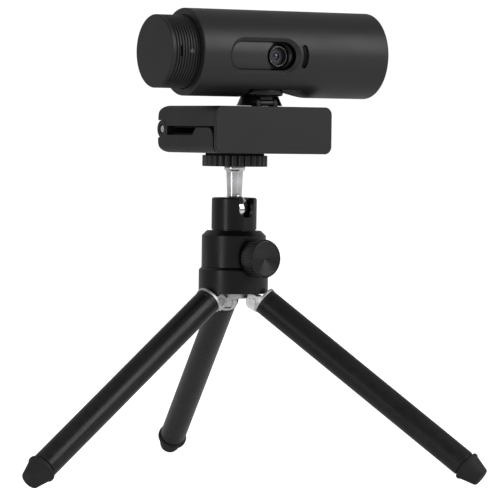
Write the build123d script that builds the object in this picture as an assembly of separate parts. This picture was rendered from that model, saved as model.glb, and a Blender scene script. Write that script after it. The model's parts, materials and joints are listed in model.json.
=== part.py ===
from build123d import *
import os
from math import atan2, cos, pi, radians, sin, sqrt, tan

# A webcam in a tube-shaped housing, on its folding monitor clip, screwed to a small
# ball-head tripod. Millimetres, +Z up, the webcam looks along -Y and its tube lies
# along X with the privacy knob at -X. The floor is Z = 0 and the origin is the
# middle of the rest-pose footprint.

# Driving dimensions --------------------------------------------------------------

TRIPOD_X = 17.17  # where the tripod's own axis stands, so that the footprint is centred
TRIPOD_Y = -10.87
FIT = 0.05  # radial play of pins and threads that turn
GAP = 0.3  # space between pieces that pass each other

# Legs
LEG_SPREAD = 53.3  # degrees from the vertical when the legs are open
LEG_LENGTH = 109.5  # along the axis, from the collar's face to the tube's lower end
LEG_R = 5.6
LEG_WALL = 0.8
LEG_TOP_RADIUS = 13.2  # the collar face's centre, from the tripod's axis
LEG_AZIMUTHS = {"a": -49.0, "b": 74.0, "c": 191.0}
COLLAR_R = 5.95
PIVOT_ALONG = 2.2  # the fold pin, past the collar's face
PIVOT_BELOW = 2.9  # and under the leg's axis
EYE_R = 3.0
TONGUE = 3.0
EAR = 2.0
PIN_R = 1.2
HUB_R = 7.0
HUB_PLATE = 2.2
HUB_HEAD_R = 3.0
HUB_HEAD = 1.5
FOOT_RIM_R = 6.4
FOOT_TIP_R = 3.85
FOOT_LENGTH = 9.4
FOOT_SHOULDER = (2.4, 5.9)  # below the tube's end, and radius, where the foot starts to taper
FOOT_ROUND = 1.2

# Ball head
HEAD_AZIMUTH = -85.0  # the side of the notch and the lock knob
BASE_R = 14.6
BASE_HEIGHT = 11.0
BODY_R = 13.5
BODY_HEIGHT = 15.3
NECK_R = 9.5
NECK_HEIGHT = 13.8
GROOVE = 0.45  # the turned line at the foot of the neck
BALL_R = 6.5
BALL_BELOW_RIM = 5.2
BORE_R = 7.2
MOUTH_R = 5.9
NOTCH_HALF = 3.7
NOTCH_BELOW_BALL = 3.1
LOCK_R = 8.05
LOCK_LENGTH = 7.5
LOCK_FACE = 23.0  # the knob's outer face, from the tripod's axis
LOCK_BELOW_BALL = 19.8
LOCK_BOSS_R = 3.7
SCREW_R = 2.4

# Ball stud and thumb wheel
STALK_R = (2.75, 3.45)
STALK_LENGTH = 16.75  # from the ball's centre to the flange
FLANGE_R = 4.4
FLANGE = 1.4
STUD_R = 3.1
WHEEL_R = 13.65
WHEEL_HEIGHT = 4.7
WHEEL_RIBS = 28
WHEEL_PAD = 0.8

# Clip
CLIP_WIDTH = 56.0
CLIP_DEPTH = 48.3
CLIP_HEIGHT = 19.5
CLIP_ROUND = 3.2
CLIP_WALL = 2.0
STUD_TO_FRONT = 31.5
PLATE = 1.8
POST_R = 7.6  # the lower jaw's post round the threaded insert
JAW_TOP = 11.1  # the upper jaw's lower edge, above the clip's bottom
JAW_FLOOR = 7.3
JAW_BUMP = 10.4
KNUCKLE_R = 3.6
KNUCKLE_EDGES = (6.0, 20.0)  # the lower half's knuckles are inside the first and past the second
HINGE_PIN_R = 1.9
REAR_ROUND = 4.9
REAR_SETBACK = 0.7  # the knuckles stand this far behind the shells

# Neck
NECK_AXIS_Y = -19.2  # the turret's axis, from the tripod's axis
TURRET_R = (9.5, 7.8)
DISC_R = 9.7
DISC = 2.6
AXLE_FORWARD = 4.1
AXLE_ABOVE_CLIP = 1.3
AXLE_R = 1.2
TILT_LIMIT = 25.0

# Webcam
TUBE_R = 18.0
TUBE_WALL = 2.0
TUBE_LEFT = -37.0
TUBE_RIGHT = 52.6
KNOB_R = 15.0
KNOB_OUT = 13.5
KNOB_IN = 4.0  # how far the knob reaches into the tube at rest
KNOB_BAND = 2.0  # the plain band next to the knob's face
KNOB_RIDGES = 9
RIDGE_GAP = 0.5
RIDGE_DEPTH = 0.5
KNOB_WALL = 1.6
SLIT_FROM_FACE = 4.0
SLIT_WIDTH = 1.0
SLIT_HEIGHT = 4.6
RECESS_ROOF = 14.9
WINDOW_LEFT = -23.2  # the through opening, its bevel is outside this
WINDOW_RIGHT = 7.6
WINDOW_HALF = 5.9
WINDOW_BEVEL = 1.8
SLEEVE_R = (14.9, 15.7)
SLEEVE_HALF_ANGLE = 30.0
SLEEVE_END = -3.3  # the sleeve's end, beside the lens
LENS_X = 0.6  # the lens axis, from the neck axis
LENS_DROP = 1.2  # and below the tube axis
WELL_R = 6.5
LENS_R = 4.2
LENS_RING = 0.75
LENS_FRONT = -13.6
LENS_DISC = -11.6
LENS_BACK = -5.0
PUPIL_R = 1.48
PUPIL_DOME = 0.45
ARC_R = 10.9
ARC_WIDTH = 2.6
ARC_HALF_ANGLE = 19.0
USB_X = 30.0

# Levels worked out from the driving dimensions -----------------------------------

lean = radians(LEG_SPREAD)
foot_end = LEG_LENGTH + FOOT_LENGTH - FOOT_ROUND
taper = atan2(FOOT_SHOULDER[1] - FOOT_TIP_R, FOOT_LENGTH - FOOT_SHOULDER[0])
tip_round_r = FOOT_TIP_R - FOOT_ROUND * tan((pi / 2 - taper) / 2)
leg_top_z = foot_end * cos(lean) + tip_round_r * sin(lean) + FOOT_ROUND
pivot_radius = LEG_TOP_RADIUS - PIVOT_BELOW * cos(lean) - PIVOT_ALONG * sin(lean)
pivot_z = leg_top_z - PIVOT_BELOW * sin(lean) + PIVOT_ALONG * cos(lean)
base_z = pivot_z + EYE_R + 0.4
body_z = base_z + BASE_HEIGHT
neck_z = body_z + BODY_HEIGHT
rim_z = neck_z + NECK_HEIGHT
ball_z = rim_z - BALL_BELOW_RIM
lock_z = ball_z - LOCK_BELOW_BALL
flange_z = ball_z + STALK_LENGTH
wheel_z = flange_z + FLANGE + FIT
clip_z = wheel_z + WHEEL_HEIGHT + WHEEL_PAD + 0.1
clip_top_z = clip_z + CLIP_HEIGHT
pin_z = clip_z + CLIP_HEIGHT / 2
axle_z = clip_top_z + AXLE_ABOVE_CLIP
turret_z = clip_top_z + 0.3
disc_z = clip_top_z + 4.3
tube_z = disc_z + DISC + 0.05 + RECESS_ROOF
front_y = -STUD_TO_FRONT
rear_y = front_y + CLIP_DEPTH
pin_y = rear_y - KNUCKLE_R
axle_y = NECK_AXIS_Y - AXLE_FORWARD

TRIPOD = Pos(TRIPOD_X, TRIPOD_Y, 0)
HEAD = TRIPOD * Rot(0, 0, HEAD_AZIMUTH)
WEBCAM = TRIPOD * Pos(0, NECK_AXIS_Y, tube_z)
LENS_SPOT = Pos(LENS_X, 0, -LENS_DROP)


# Small helpers -------------------------------------------------------------------

def rod(radius, z0, z1, x=0.0, y=0.0):
    """A cylinder along Z from z0 to z1."""
    return Pos(x, y, (z0 + z1) / 2) * Cylinder(radius, z1 - z0)


def rod_x(radius, x0, x1, y=0.0, z=0.0):
    """A cylinder along X from x0 to x1."""
    return Pos((x0 + x1) / 2, y, z) * Rot(0, 90, 0) * Cylinder(radius, x1 - x0)


def rod_y(radius, y0, y1, x=0.0, z=0.0):
    """A cylinder along Y from y0 to y1."""
    return Pos(x, (y0 + y1) / 2, z) * Rot(90, 0, 0) * Cylinder(radius, y1 - y0)


def block(x0, x1, y0, y1, z0, z1):
    """A box from its lowest to its highest corner."""
    return Pos((x0 + x1) / 2, (y0 + y1) / 2, (z0 + z1) / 2) * Box(x1 - x0, y1 - y0, z1 - z0)


def turned(points):
    """A solid of revolution about Z from (radius, z) points."""
    outline = make_face(Polyline([(r, 0, z) for r, z in points], close=True))
    return revolve(outline, Axis.Z)


def side_cut(points, half_width):
    """A solid from a (y, z) outline, extruded both ways along X."""
    outline = make_face(Polyline([(0, y, z) for y, z in points], close=True))
    return extrude(outline, amount=half_width, dir=(1, 0, 0), both=True)


def stadium_y(x0, x1, half, y0, y1):
    """A stadium-shaped prism along Y, with its long side along X."""
    middle = block(x0 + half, x1 - half, y0, y1, -half, half)
    return middle + rod_y(half, y0, y1, x0 + half) + rod_y(half, y0, y1, x1 - half)


made = {}


def keep(name, shape, place=None):
    """Place a piece and remember it under its node's name."""
    made[name] = place * shape if place is not None else shape


# Tripod legs ---------------------------------------------------------------------
# Each leg is drawn hanging along -Z with its collar's face at Z = 0 and the side
# that faces up when it is spread at +X.

def leg_collar():
    flange = rod(COLLAR_R, -1.2, 0)
    stem = rod(LEG_R - LEG_WALL, -10, -1.2)
    eye = Pos(-PIVOT_BELOW, 0, PIVOT_ALONG)
    width = TONGUE + 2 * (EAR + 0.15)
    lug = eye * Rot(90, 0, 0) * Cylinder(EYE_R, width)
    front = -PIVOT_BELOW - EYE_R
    rear = -PIVOT_BELOW + EYE_R
    root = [
        (front + 0.3, 0, -0.3),
        (front, 0, PIVOT_ALONG),
        (rear, 0, PIVOT_ALONG),
        (rear + 1.9, 0, -0.3),
    ]
    foot = make_face(Polyline(root, close=True))
    lug += extrude(foot, amount=width / 2, dir=(0, 1, 0), both=True)
    slot = eye * Rot(90, 0, 0) * Cylinder(EYE_R + 0.35, TONGUE + 0.3)
    slot += block(-9, 3, -TONGUE / 2 - 0.15, TONGUE / 2 + 0.15, 0, 9)
    hole = eye * Rot(90, 0, 0) * Cylinder(PIN_R, 20)
    return flange + stem + lug - slot - hole


def leg_pin():
    length = TONGUE + 2 * (EAR + 0.15) + 0.6
    pin = Cylinder(PIN_R, length)
    for side in (-1, 1):
        pin += Pos(0, 0, side * (length / 2 - 0.15)) * Cylinder(PIN_R + 0.4, 0.3)
    return Pos(-PIVOT_BELOW, 0, PIVOT_ALONG) * Rot(90, 0, 0) * pin


def leg_tube():
    tube = rod(LEG_R, -LEG_LENGTH, -1.2) - rod(LEG_R - LEG_WALL, -LEG_LENGTH - 1, 0)
    return chamfer(tube.edges().group_by(Axis.Z)[0].sort_by(SortBy.LENGTH)[-1:], 0.3)


def leg_foot():
    end = -LEG_LENGTH
    stem = rod(LEG_R - LEG_WALL - 0.1, end, end + 8)
    waist = rod(LEG_R - 0.5, end - 0.5, end)
    tip = end - FOOT_LENGTH
    cap = turned(
        [
            (0, end - 0.5),
            (FOOT_RIM_R - 0.3, end - 0.5),
            (FOOT_RIM_R, end - 0.8),
            (FOOT_RIM_R, end - 2.0),
            (FOOT_SHOULDER[1], end - FOOT_SHOULDER[0]),
            (FOOT_TIP_R, tip),
            (0, tip),
        ]
    )
    cap = fillet(cap.edges().group_by(Axis.Z)[0], FOOT_ROUND)
    return stem + waist + cap


def make_legs():
    for letter, azimuth in LEG_AZIMUTHS.items():
        hang = Pos(LEG_TOP_RADIUS, 0, leg_top_z) * Rot(0, -LEG_SPREAD, 0)
        place = TRIPOD * Rot(0, 0, azimuth) * hang
        keep(f"leg_{letter}_collar", leg_collar(), place)
        keep(f"leg_{letter}_pin", leg_pin(), place)
        keep(f"leg_{letter}_tube", leg_tube(), place)
        keep(f"leg_{letter}_foot", leg_foot(), place)


# Tripod head ---------------------------------------------------------------------

def hub_bracket():
    """A thin plate under the base with three hanging lugs for the fold pins."""
    low = base_z - HUB_PLATE
    hub = rod(HUB_R, low, base_z)
    hub = chamfer(hub.edges().group_by(Axis.Z)[0], 0.4)
    for azimuth in LEG_AZIMUTHS.values():
        lug = block(HUB_R / 2, pivot_radius, -TONGUE / 2, TONGUE / 2, low, base_z)
        lug += block(pivot_radius - EYE_R, pivot_radius, -TONGUE / 2, TONGUE / 2, pivot_z, base_z)
        lug += rod_y(EYE_R, -TONGUE / 2, TONGUE / 2, pivot_radius, pivot_z)
        lug -= rod_y(PIN_R + FIT, -TONGUE, TONGUE, pivot_radius, pivot_z)
        hub += Rot(0, 0, azimuth) * lug
    sink = rod(HUB_HEAD_R + FIT, low - 1, low + HUB_HEAD) + rod(2.0, low - 1, base_z + 1)
    return hub - sink


def hub_screw():
    """A socket screw, sunk in the plate, that draws the plate against the base."""
    low = base_z - HUB_PLATE
    screw = rod(HUB_HEAD_R, low + 0.1, low + HUB_HEAD) + rod(1.95, low + HUB_HEAD, base_z + 3.6)
    return screw - extrude(Pos(0, 0, low + 0.1) * RegularPolygon(1.4, 6), 1.0)


def base_collar():
    collar = rod(BASE_R, base_z, body_z)
    collar = chamfer(collar.edges().group_by(Axis.Z)[-1], 1.2)
    collar = chamfer(collar.edges().group_by(Axis.Z)[0], 0.4)
    return collar - rod(10.0, base_z + 4.2, body_z + 1) - rod(2.0, base_z - 1, base_z + 5)


def head_housing():
    housing = rod(BODY_R, body_z, neck_z)
    housing = chamfer(housing.edges().group_by(Axis.Z)[-1], 2.1)
    tower = rod(NECK_R, neck_z - 1, rim_z)
    tower = fillet(tower.edges().group_by(Axis.Z)[-1], 0.9)
    spigot = rod(10.0, base_z + 4.5, body_z)
    boss = Pos(BODY_R - 1.0, 0, lock_z) * Rot(0, 90, 0) * Cylinder(LOCK_BOSS_R, 3.4)
    housing += tower + spigot + boss
    housing -= rod(NECK_R + 1, neck_z, neck_z + GROOVE) - rod(NECK_R - GROOVE, neck_z - 1, neck_z + 1)
    housing -= rod(BORE_R, lock_z - 4.4, ball_z)
    housing -= Pos(0, 0, ball_z) * Sphere(BALL_R + GAP + 0.1)
    housing -= rod(MOUTH_R, ball_z, rim_z + 1)
    mouth = Pos(0, 0, rim_z - 0.35) * Cone(MOUTH_R - 0.05, MOUTH_R + 0.75, 0.8)
    housing -= mouth
    notch_z = ball_z - NOTCH_BELOW_BALL + NOTCH_HALF
    notch = rod_x(NOTCH_HALF, 0, NECK_R + 2, 0, notch_z)
    notch += block(0, NECK_R + 2, -NOTCH_HALF, NOTCH_HALF, notch_z, rim_z + 1)
    housing -= notch
    housing -= rod_x(SCREW_R + FIT, 0, BODY_R + 3, 0, lock_z)
    return housing


def ball_cup():
    """The nylon cup under the ball, cut off well below the ball's middle."""
    cup = Sphere(BALL_R + 1.0) - Sphere(BALL_R + 0.1)
    cup &= Pos(0, 0, -10 - 4.8) * Box(40, 40, 20)
    return Pos(0, 0, ball_z) * (cup - Cylinder(1.6, 40))


def clamp_plug():
    """The plug that the lock screw lifts against the cup."""
    top = ball_z - 5.5
    plug = rod(BORE_R - GAP, lock_z - 3.6, top) - Pos(0, 0, ball_z) * Sphere(BALL_R + 1.3)
    return plug - rod_x(SCREW_R + 0.6, -9, 9, 0, lock_z)


def lock_knob():
    back = LOCK_FACE - LOCK_LENGTH
    drum = rod_x(LOCK_R - 0.35, back, LOCK_FACE)
    drum = chamfer(drum.edges().group_by(Axis.X)[-1], 0.35)
    drum = chamfer(drum.edges().group_by(Axis.X)[0], 0.5)
    rib = block(back + 0.9, LOCK_FACE - 0.7, -0.42, 0.42, LOCK_R - 1.0, LOCK_R)
    count = 40
    for i in range(count):
        drum += Rot(360 * i / count, 0, 0) * rib
    cone = Pos(LOCK_FACE - 0.2, 0, 0) * Rot(0, 90, 0) * Cone(0.6, LOCK_R - 1.2, 0.45)
    drum -= cone
    drum -= rod_x(SCREW_R, back - 1, LOCK_FACE - 2.5)
    return Pos(0, 0, lock_z) * drum


def lock_screw():
    screw = rod_x(SCREW_R, 2.5, LOCK_FACE - 2.5)
    screw = chamfer(screw.edges().group_by(Axis.X)[0], 1.4)
    return Pos(0, 0, lock_z) * screw


def lock_washer():
    washer = rod_x(LOCK_BOSS_R, BODY_R + 0.7, BODY_R + 1.5) - rod_x(SCREW_R + GAP, 0, 30)
    return Pos(0, 0, lock_z) * washer


def make_head():
    keep("hub_bracket", hub_bracket(), TRIPOD)
    keep("hub_screw", hub_screw(), TRIPOD)
    keep("base_collar", base_collar(), TRIPOD)
    keep("head_housing", head_housing(), HEAD)
    keep("lock_washer", lock_washer(), HEAD)
    keep("lock_knob", lock_knob(), HEAD)
    keep("lock_screw", lock_screw(), HEAD)
    keep("clamp_plug", clamp_plug(), HEAD)
    keep("ball_cup", ball_cup(), HEAD)


# Ball stud and thumb wheel -------------------------------------------------------

def ball_stud():
    start = ball_z + BALL_R - 1.0
    top = flange_z + FLANGE + FIT + WHEEL_HEIGHT + WHEEL_PAD + 6.0
    stud = turned(
        [
            (0, start),
            (STALK_R[0], start),
            (STALK_R[0], start + 1.6),
            (STALK_R[1], flange_z - 0.8),
            (STALK_R[1] + 0.5, flange_z),
            (FLANGE_R, flange_z + 0.2),
            (FLANGE_R, flange_z + FLANGE),
            (STUD_R, flange_z + FLANGE),
            (STUD_R, top - 0.8),
            (STUD_R - 0.8, top),
            (0, top),
        ]
    )
    return Pos(0, 0, ball_z) * Sphere(BALL_R) + stud


def thumb_wheel():
    top = wheel_z + WHEEL_HEIGHT
    wheel = rod(WHEEL_R - 0.7, wheel_z, top)
    wheel = chamfer(wheel.edges().group_by(Axis.Z)[0], 0.5)
    rib = Pos(WHEEL_R - 1.0, 0, wheel_z + WHEEL_HEIGHT / 2) * Box(2.0, 1.5, WHEEL_HEIGHT - 0.4)
    rib = fillet(rib.edges().filter_by(Axis.Z).group_by(Axis.X)[-1], 0.45)
    for i in range(WHEEL_RIBS):
        wheel += Rot(0, 0, 360 * i / WHEEL_RIBS) * rib
    return wheel - rod(STUD_R + FIT, wheel_z - 1, top + 1)


def wheel_pad():
    top = wheel_z + WHEEL_HEIGHT
    return rod(WHEEL_R - 1.3, top, top + WHEEL_PAD) - rod(STUD_R + GAP, top - 1, top + 2)


def make_stud():
    keep("ball_stud", ball_stud(), TRIPOD)
    keep("thumb_wheel", thumb_wheel(), TRIPOD)
    keep("wheel_pad", wheel_pad(), TRIPOD)


# Clip ----------------------------------------------------------------------------

def clip_envelope():
    """The closed clip as one rounded block, lying along Y."""
    section = Pos(0, front_y, clip_z + CLIP_HEIGHT / 2) * Rot(90, 0, 0)
    section *= RectangleRounded(CLIP_WIDTH, CLIP_HEIGHT, CLIP_ROUND)
    back = rear_y - REAR_SETBACK
    bar = extrude(section, amount=back - front_y, dir=(0, 1, 0))
    rounded = block(-40, 40, front_y - 1, back, clip_z, clip_top_z)
    rounded = fillet(rounded.edges().filter_by(Axis.X).group_by(Axis.Y)[-1], REAR_ROUND)
    return bar & rounded


def knuckles(spans):
    """Hinge knuckles over the given x spans, each with a block into the shell."""
    group = None
    for x0, x1 in spans:
        knuckle = rod_x(KNUCKLE_R, x0, x1, pin_y, pin_z)
        group = knuckle if group is None else group + knuckle
    return group


def pin_relief(spans):
    """Room round the pin where the other half has its knuckles."""
    group = None
    for x0, x1 in spans:
        relief = rod_x(KNUCKLE_R + GAP, x0 - GAP, x1 + GAP, pin_y, pin_z)
        group = relief if group is None else group + relief
    return group


inner, outer = KNUCKLE_EDGES
half_width = CLIP_WIDTH / 2
UPPER_SPANS = [(-outer + GAP, -inner - GAP), (inner + GAP, outer - GAP)]
LOWER_SPANS = [(-half_width, -outer), (-inner, inner), (outer, half_width)]


def upper_shell():
    low = clip_z + JAW_TOP
    back = front_y + PLATE
    shell = clip_envelope()
    outline = [
        (back, low),
        (pin_y - KNUCKLE_R - 1.0, low),
        (pin_y - KNUCKLE_R - 1.0, pin_z),
        (pin_y, pin_z),
        (pin_y, pin_z + KNUCKLE_R),
        (rear_y + 1, pin_z + KNUCKLE_R),
        (rear_y + 1, clip_top_z + 1),
        (back, clip_top_z + 1),
    ]
    shell &= side_cut(outline, 40)
    shell -= rod_x(KNUCKLE_R + GAP, -40, 40, pin_y, pin_z)
    web = side_cut(
        [
            (pin_y - KNUCKLE_R - 1.0, pin_z + 0.2),
            (pin_y, pin_z + 0.2),
            (pin_y + KNUCKLE_R - 0.8, pin_z + KNUCKLE_R + 1.5),
            (pin_y - KNUCKLE_R - 1.0, pin_z + KNUCKLE_R + 1.5),
        ],
        40,
    )
    for x0, x1 in UPPER_SPANS:
        shell += web & block(x0, x1, -50, 50, clip_z, clip_top_z)
    shell += knuckles(UPPER_SPANS)
    w = half_width - CLIP_WALL
    cavity = block(-w, w, back + 4, pin_y - KNUCKLE_R - 2.4, low - 1, clip_top_z - CLIP_WALL)
    cavity -= rod(5.0, clip_top_z - CLIP_WALL - 3, clip_top_z, 0, axle_y + 1)
    shell -= cavity
    pocket = block(-5.6, 5.6, axle_y - 2.8, axle_y + 2.8, clip_top_z - 1.6, clip_top_z + 1)
    shell -= pocket
    for side in (-1, 1):
        x0, x1 = sorted((side * 3.2, side * 5.0))
        lug = rod_x(1.0 + AXLE_R, x0, x1, axle_y, axle_z)
        lug += block(x0, x1, axle_y - 2.2, axle_y + 2.2, clip_top_z - 1.8, axle_z)
        shell += lug
    shell -= rod_x(AXLE_R, -5.3, 5.3, axle_y, axle_z)
    return shell - rod_x(HINGE_PIN_R + FIT, -40, 40, pin_y, pin_z)


def front_plate():
    return clip_envelope() & block(-40, 40, front_y - 1, front_y + PLATE, 0, 300)


def lower_shell():
    floor = clip_z + JAW_FLOOR
    bump = clip_z + JAW_BUMP
    front = front_y + PLATE + 0.7
    shell = clip_envelope()
    outline = [
        (front, clip_z - 1),
        (front, bump - 4.4),
        (front + 0.5, bump - 2.4),
        (front + 1.6, bump - 0.8),
        (front + 3.2, bump),
        (rear_y - 32.0, bump),
        (rear_y - 28.8, floor),
        (pin_y - KNUCKLE_R - 1.0, floor),
        (pin_y - KNUCKLE_R - 1.0, pin_z),
        (pin_y, pin_z),
        (pin_y, pin_z - KNUCKLE_R),
        (rear_y + 1, pin_z - KNUCKLE_R),
        (rear_y + 1, clip_z - 1),
    ]
    shell &= side_cut(outline, 40)
    for x0, x1 in UPPER_SPANS:
        shell -= rod_x(KNUCKLE_R + GAP, x0 - GAP, x1 + GAP, pin_y, pin_z)
        shell -= block(x0 - GAP, x1 + GAP, pin_y - KNUCKLE_R - 1.4, pin_y, floor, pin_z + 1)
    web = side_cut(
        [
            (pin_y - KNUCKLE_R - 1.0, floor - 1),
            (pin_y - KNUCKLE_R - 1.0, pin_z - 0.2),
            (pin_y, pin_z - 0.2),
            (pin_y + KNUCKLE_R - 0.8, pin_z - KNUCKLE_R - 1.5),
            (pin_y, floor - 1),
        ],
        40,
    )
    for x0, x1 in LOWER_SPANS:
        shell += web & block(x0, x1, -50, 50, clip_z, clip_top_z)
    shell += knuckles(LOWER_SPANS)
    w = half_width - CLIP_WALL
    cavity = block(-w, w, rear_y - 28.4, pin_y - KNUCKLE_R - 2.6, clip_z + CLIP_WALL, floor + 1)
    cavity -= rod(POST_R, clip_z, floor + 1)
    shell -= cavity
    shell -= rod(5.0, clip_z - 1, clip_z + 6.1)
    return shell - rod_x(HINGE_PIN_R, -40, 40, pin_y, pin_z)


def thread_insert():
    insert = rod(5.0, clip_z + 0.1, clip_z + 6.1) - rod(STUD_R + FIT, clip_z - 1, clip_z + 8)
    return insert


def upper_pad():
    low = clip_z + JAW_TOP - 0.7
    w = half_width - CLIP_WALL - 0.1
    return block(-w, w, front_y + PLATE + 4.1, pin_y - KNUCKLE_R - 2.5, low, low + 1.7)


def lower_pad():
    low = clip_z + JAW_FLOOR - 1.0
    w = half_width - CLIP_WALL - 0.1
    pad = block(-w, w, rear_y - 28.3, pin_y - KNUCKLE_R - 2.7, low, low + 1.7)
    return pad - rod(POST_R + 0.1, low - 1, low + 1.0)


def hinge_pin():
    pin = rod_x(HINGE_PIN_R, -half_width + 0.2, half_width - 0.2, pin_y, pin_z)
    return chamfer(pin.edges().filter_by(GeomType.CIRCLE), 0.3)


def make_clip():
    keep("clip_upper_shell", upper_shell(), TRIPOD)
    keep("clip_front_plate", front_plate(), TRIPOD)
    keep("clip_upper_pad", upper_pad(), TRIPOD)
    keep("clip_lower_shell", lower_shell(), TRIPOD)
    keep("clip_lower_pad", lower_pad(), TRIPOD)
    keep("clip_thread_insert", thread_insert(), TRIPOD)
    keep("clip_hinge_pin", hinge_pin(), TRIPOD)


# Neck ----------------------------------------------------------------------------

def turret():
    """The tilting cone; its front is cut back so that it can lean over the clip."""
    top = disc_z - 0.05
    height = top - turret_z
    cone = Pos(0, NECK_AXIS_Y, (turret_z + top) / 2) * Cone(TURRET_R[0], TURRET_R[1], height)
    lean_over = tan(radians(TILT_LIMIT + 3))
    under = turret_z - 1
    front = -AXLE_FORWARD - 7.0
    wedge = [
        (axle_y, under),
        (axle_y + 0.01, turret_z),
        (NECK_AXIS_Y + front, turret_z + (axle_y - NECK_AXIS_Y - front) * lean_over),
        (NECK_AXIS_Y + front, under),
    ]
    cone -= side_cut(wedge, 20)
    cone -= block(-5.5, 5.5, axle_y - 9, axle_y + 2.8, under, axle_z + 2.6)
    tongue = rod_x(AXLE_R + 0.9, -2.9, 2.9, axle_y, axle_z)
    tongue += block(-2.9, 2.9, axle_y, axle_y + 4, axle_z - 0.6, axle_z + 2.1)
    tongue += block(-2.9, 2.9, axle_y - 1.4, axle_y + 4, axle_z, top)
    cone += tongue & block(-9, 9, -60, 60, turret_z, top)
    cone -= rod_x(AXLE_R + FIT, -6, 6, axle_y, axle_z)
    return cone - rod(1.5, axle_z - 3, top + 1, 0, NECK_AXIS_Y)


def tilt_axle():
    return rod_x(AXLE_R, -5.2, 5.2, axle_y, axle_z)


def pan_screw():
    """The shouldered screw that holds the webcam on the turret and lets it turn."""
    top = disc_z + DISC + 0.05 + TUBE_WALL
    shank = rod(1.5, turret_z + 0.6, disc_z - 0.05) + rod(2.9, disc_z - 0.05, top + 0.1)
    return Pos(0, NECK_AXIS_Y, 0) * (shank + rod(4.4, top + 0.1, top + 1.0))


def pan_disc():
    disc = rod(DISC_R, disc_z, disc_z + DISC)
    disc = chamfer(disc.edges().group_by(Axis.Z)[0], 0.4)
    return Pos(0, NECK_AXIS_Y, 0) * (disc - rod(2.9 + FIT, disc_z - 1, disc_z + DISC + 1))


def make_neck():
    keep("neck_turret", turret(), TRIPOD)
    keep("tilt_axle", tilt_axle(), TRIPOD)
    keep("pan_screw", pan_screw(), TRIPOD)
    keep("pan_disc", pan_disc(), TRIPOD)


# Webcam --------------------------------------------------------------------------
# Drawn round its own tube axis: X along the tube, X = 0 over the neck and under
# the lens.

SCREW_SPOTS = [(-15.0, 11.5), (-15.0, -11.5), (46.0, 11.5), (46.0, -11.5)]


def arc_slot(width, y0, y1):
    """The curved slot beside the lens, concentric with it."""
    ring = rod_y(ARC_R + width / 2, y0, y1) - rod_y(ARC_R - width / 2, y0 - 1, y1 + 1)
    reach = 20.0
    half = radians(ARC_HALF_ANGLE)
    wedge = make_face(
        Polyline(
            [(0, y0, 0), (reach, y0, -reach * tan(half)), (reach, y0, reach * tan(half))], close=True
        )
    )
    slot = ring & extrude(wedge, amount=y1 - y0, dir=(0, 1, 0))
    for side in (-1, 1):
        slot += rod_y(width / 2, y0, y1, ARC_R * cos(half), side * ARC_R * sin(half))
    return slot


def tube_body():
    """Both shells as one, before they are split."""
    tube = rod_x(TUBE_R, TUBE_LEFT, TUBE_RIGHT)
    tube = fillet(tube.edges().group_by(Axis.X)[-1], 1.6)
    tube = fillet(tube.edges().group_by(Axis.X)[0], 0.5)
    cavity = rod_x(TUBE_R - TUBE_WALL, TUBE_LEFT + 1.8, TUBE_RIGHT - 1.0)
    cavity -= block(-12.5, 24.5, -20, 20, -20, -RECESS_ROOF + TUBE_WALL)
    for x, z in SCREW_SPOTS:
        cavity -= rod_y(2.3, -20, 20, x, z)
    tube -= cavity
    tube -= rod_x(KNOB_R + GAP, TUBE_LEFT - 1, TUBE_LEFT + 3)
    tube -= rod_x(TUBE_R - 3.0, TUBE_RIGHT - 2, TUBE_RIGHT + 1)
    recess = make_face(
        Polyline(
            [
                (-10.4, 0, -RECESS_ROOF),
                (13.6, 0, -RECESS_ROOF),
                (21.8, 0, -TUBE_R),
                (24.4, 0, -TUBE_R - 1),
                (-10.4, 0, -TUBE_R - 1),
            ],
            close=True,
        )
    )
    tube -= extrude(recess, amount=30, dir=(0, 1, 0), both=True)
    tube -= rod(2.9 + FIT, -20, -8)
    window = Pos(0, 0, -LENS_DROP) * stadium_y(WINDOW_LEFT, WINDOW_RIGHT, WINDOW_HALF, -20, -10)
    tube -= window
    rim = tube.edges().filter_by(lambda e: on_window_rim(e))
    tube = chamfer(rim, WINDOW_BEVEL - 0.2)
    tube -= LENS_SPOT * arc_slot(ARC_WIDTH, -20, -10)
    socket = stadium_y(USB_X - 4.7, USB_X + 4.7, 1.75, 10, 20)
    return tube - socket


def on_window_rim(edge):
    """True for the window's edges that lie on the tube's outer surface."""
    middle = edge @ 0.5
    radius = sqrt(middle.Y**2 + middle.Z**2)
    inside = WINDOW_LEFT - 0.1 < middle.X < WINDOW_RIGHT + 0.1
    level = abs(middle.Z + LENS_DROP) < WINDOW_HALF + 0.1
    return inside and middle.Y < 0 and abs(radius - TUBE_R) < 0.05 and level


def shell_half(body, front):
    side = -1 if front else 1
    y0, y1 = sorted((0, side * 30))
    half = body & block(-60, 60, y0, y1, -30, 30)
    seam = block(-60, 60, -0.15, 0.15, TUBE_R - 0.35, 30)
    seam += block(-60, 60, -0.15, 0.15, -30, -TUBE_R + 0.35)
    half -= seam
    for x, z in SCREW_SPOTS:
        half -= rod_y(1.1, -8, 12.5, x, z)
        if not front:
            half -= rod_y(2.3, 10.9, 20, x, z)
    return half


def shell_screws():
    """Four self-tapping screws, heads sunk in the rear shell."""
    group = None
    for x, z in SCREW_SPOTS:
        screw = rod_y(1.1, -7.5, 10.9, x, z) + rod_y(1.9, 10.9, 12.3, x, z)
        group = screw if group is None else group + screw
    return group


def end_cap():
    cap = rod_x(TUBE_R - 3.0, TUBE_RIGHT - 1.8, TUBE_RIGHT - 0.3)
    cap = fillet(cap.edges().group_by(Axis.X)[-1], 0.4)
    return cap + rod_x(TUBE_R - 4.5, TUBE_RIGHT - 3.6, TUBE_RIGHT - 1.8)


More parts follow.
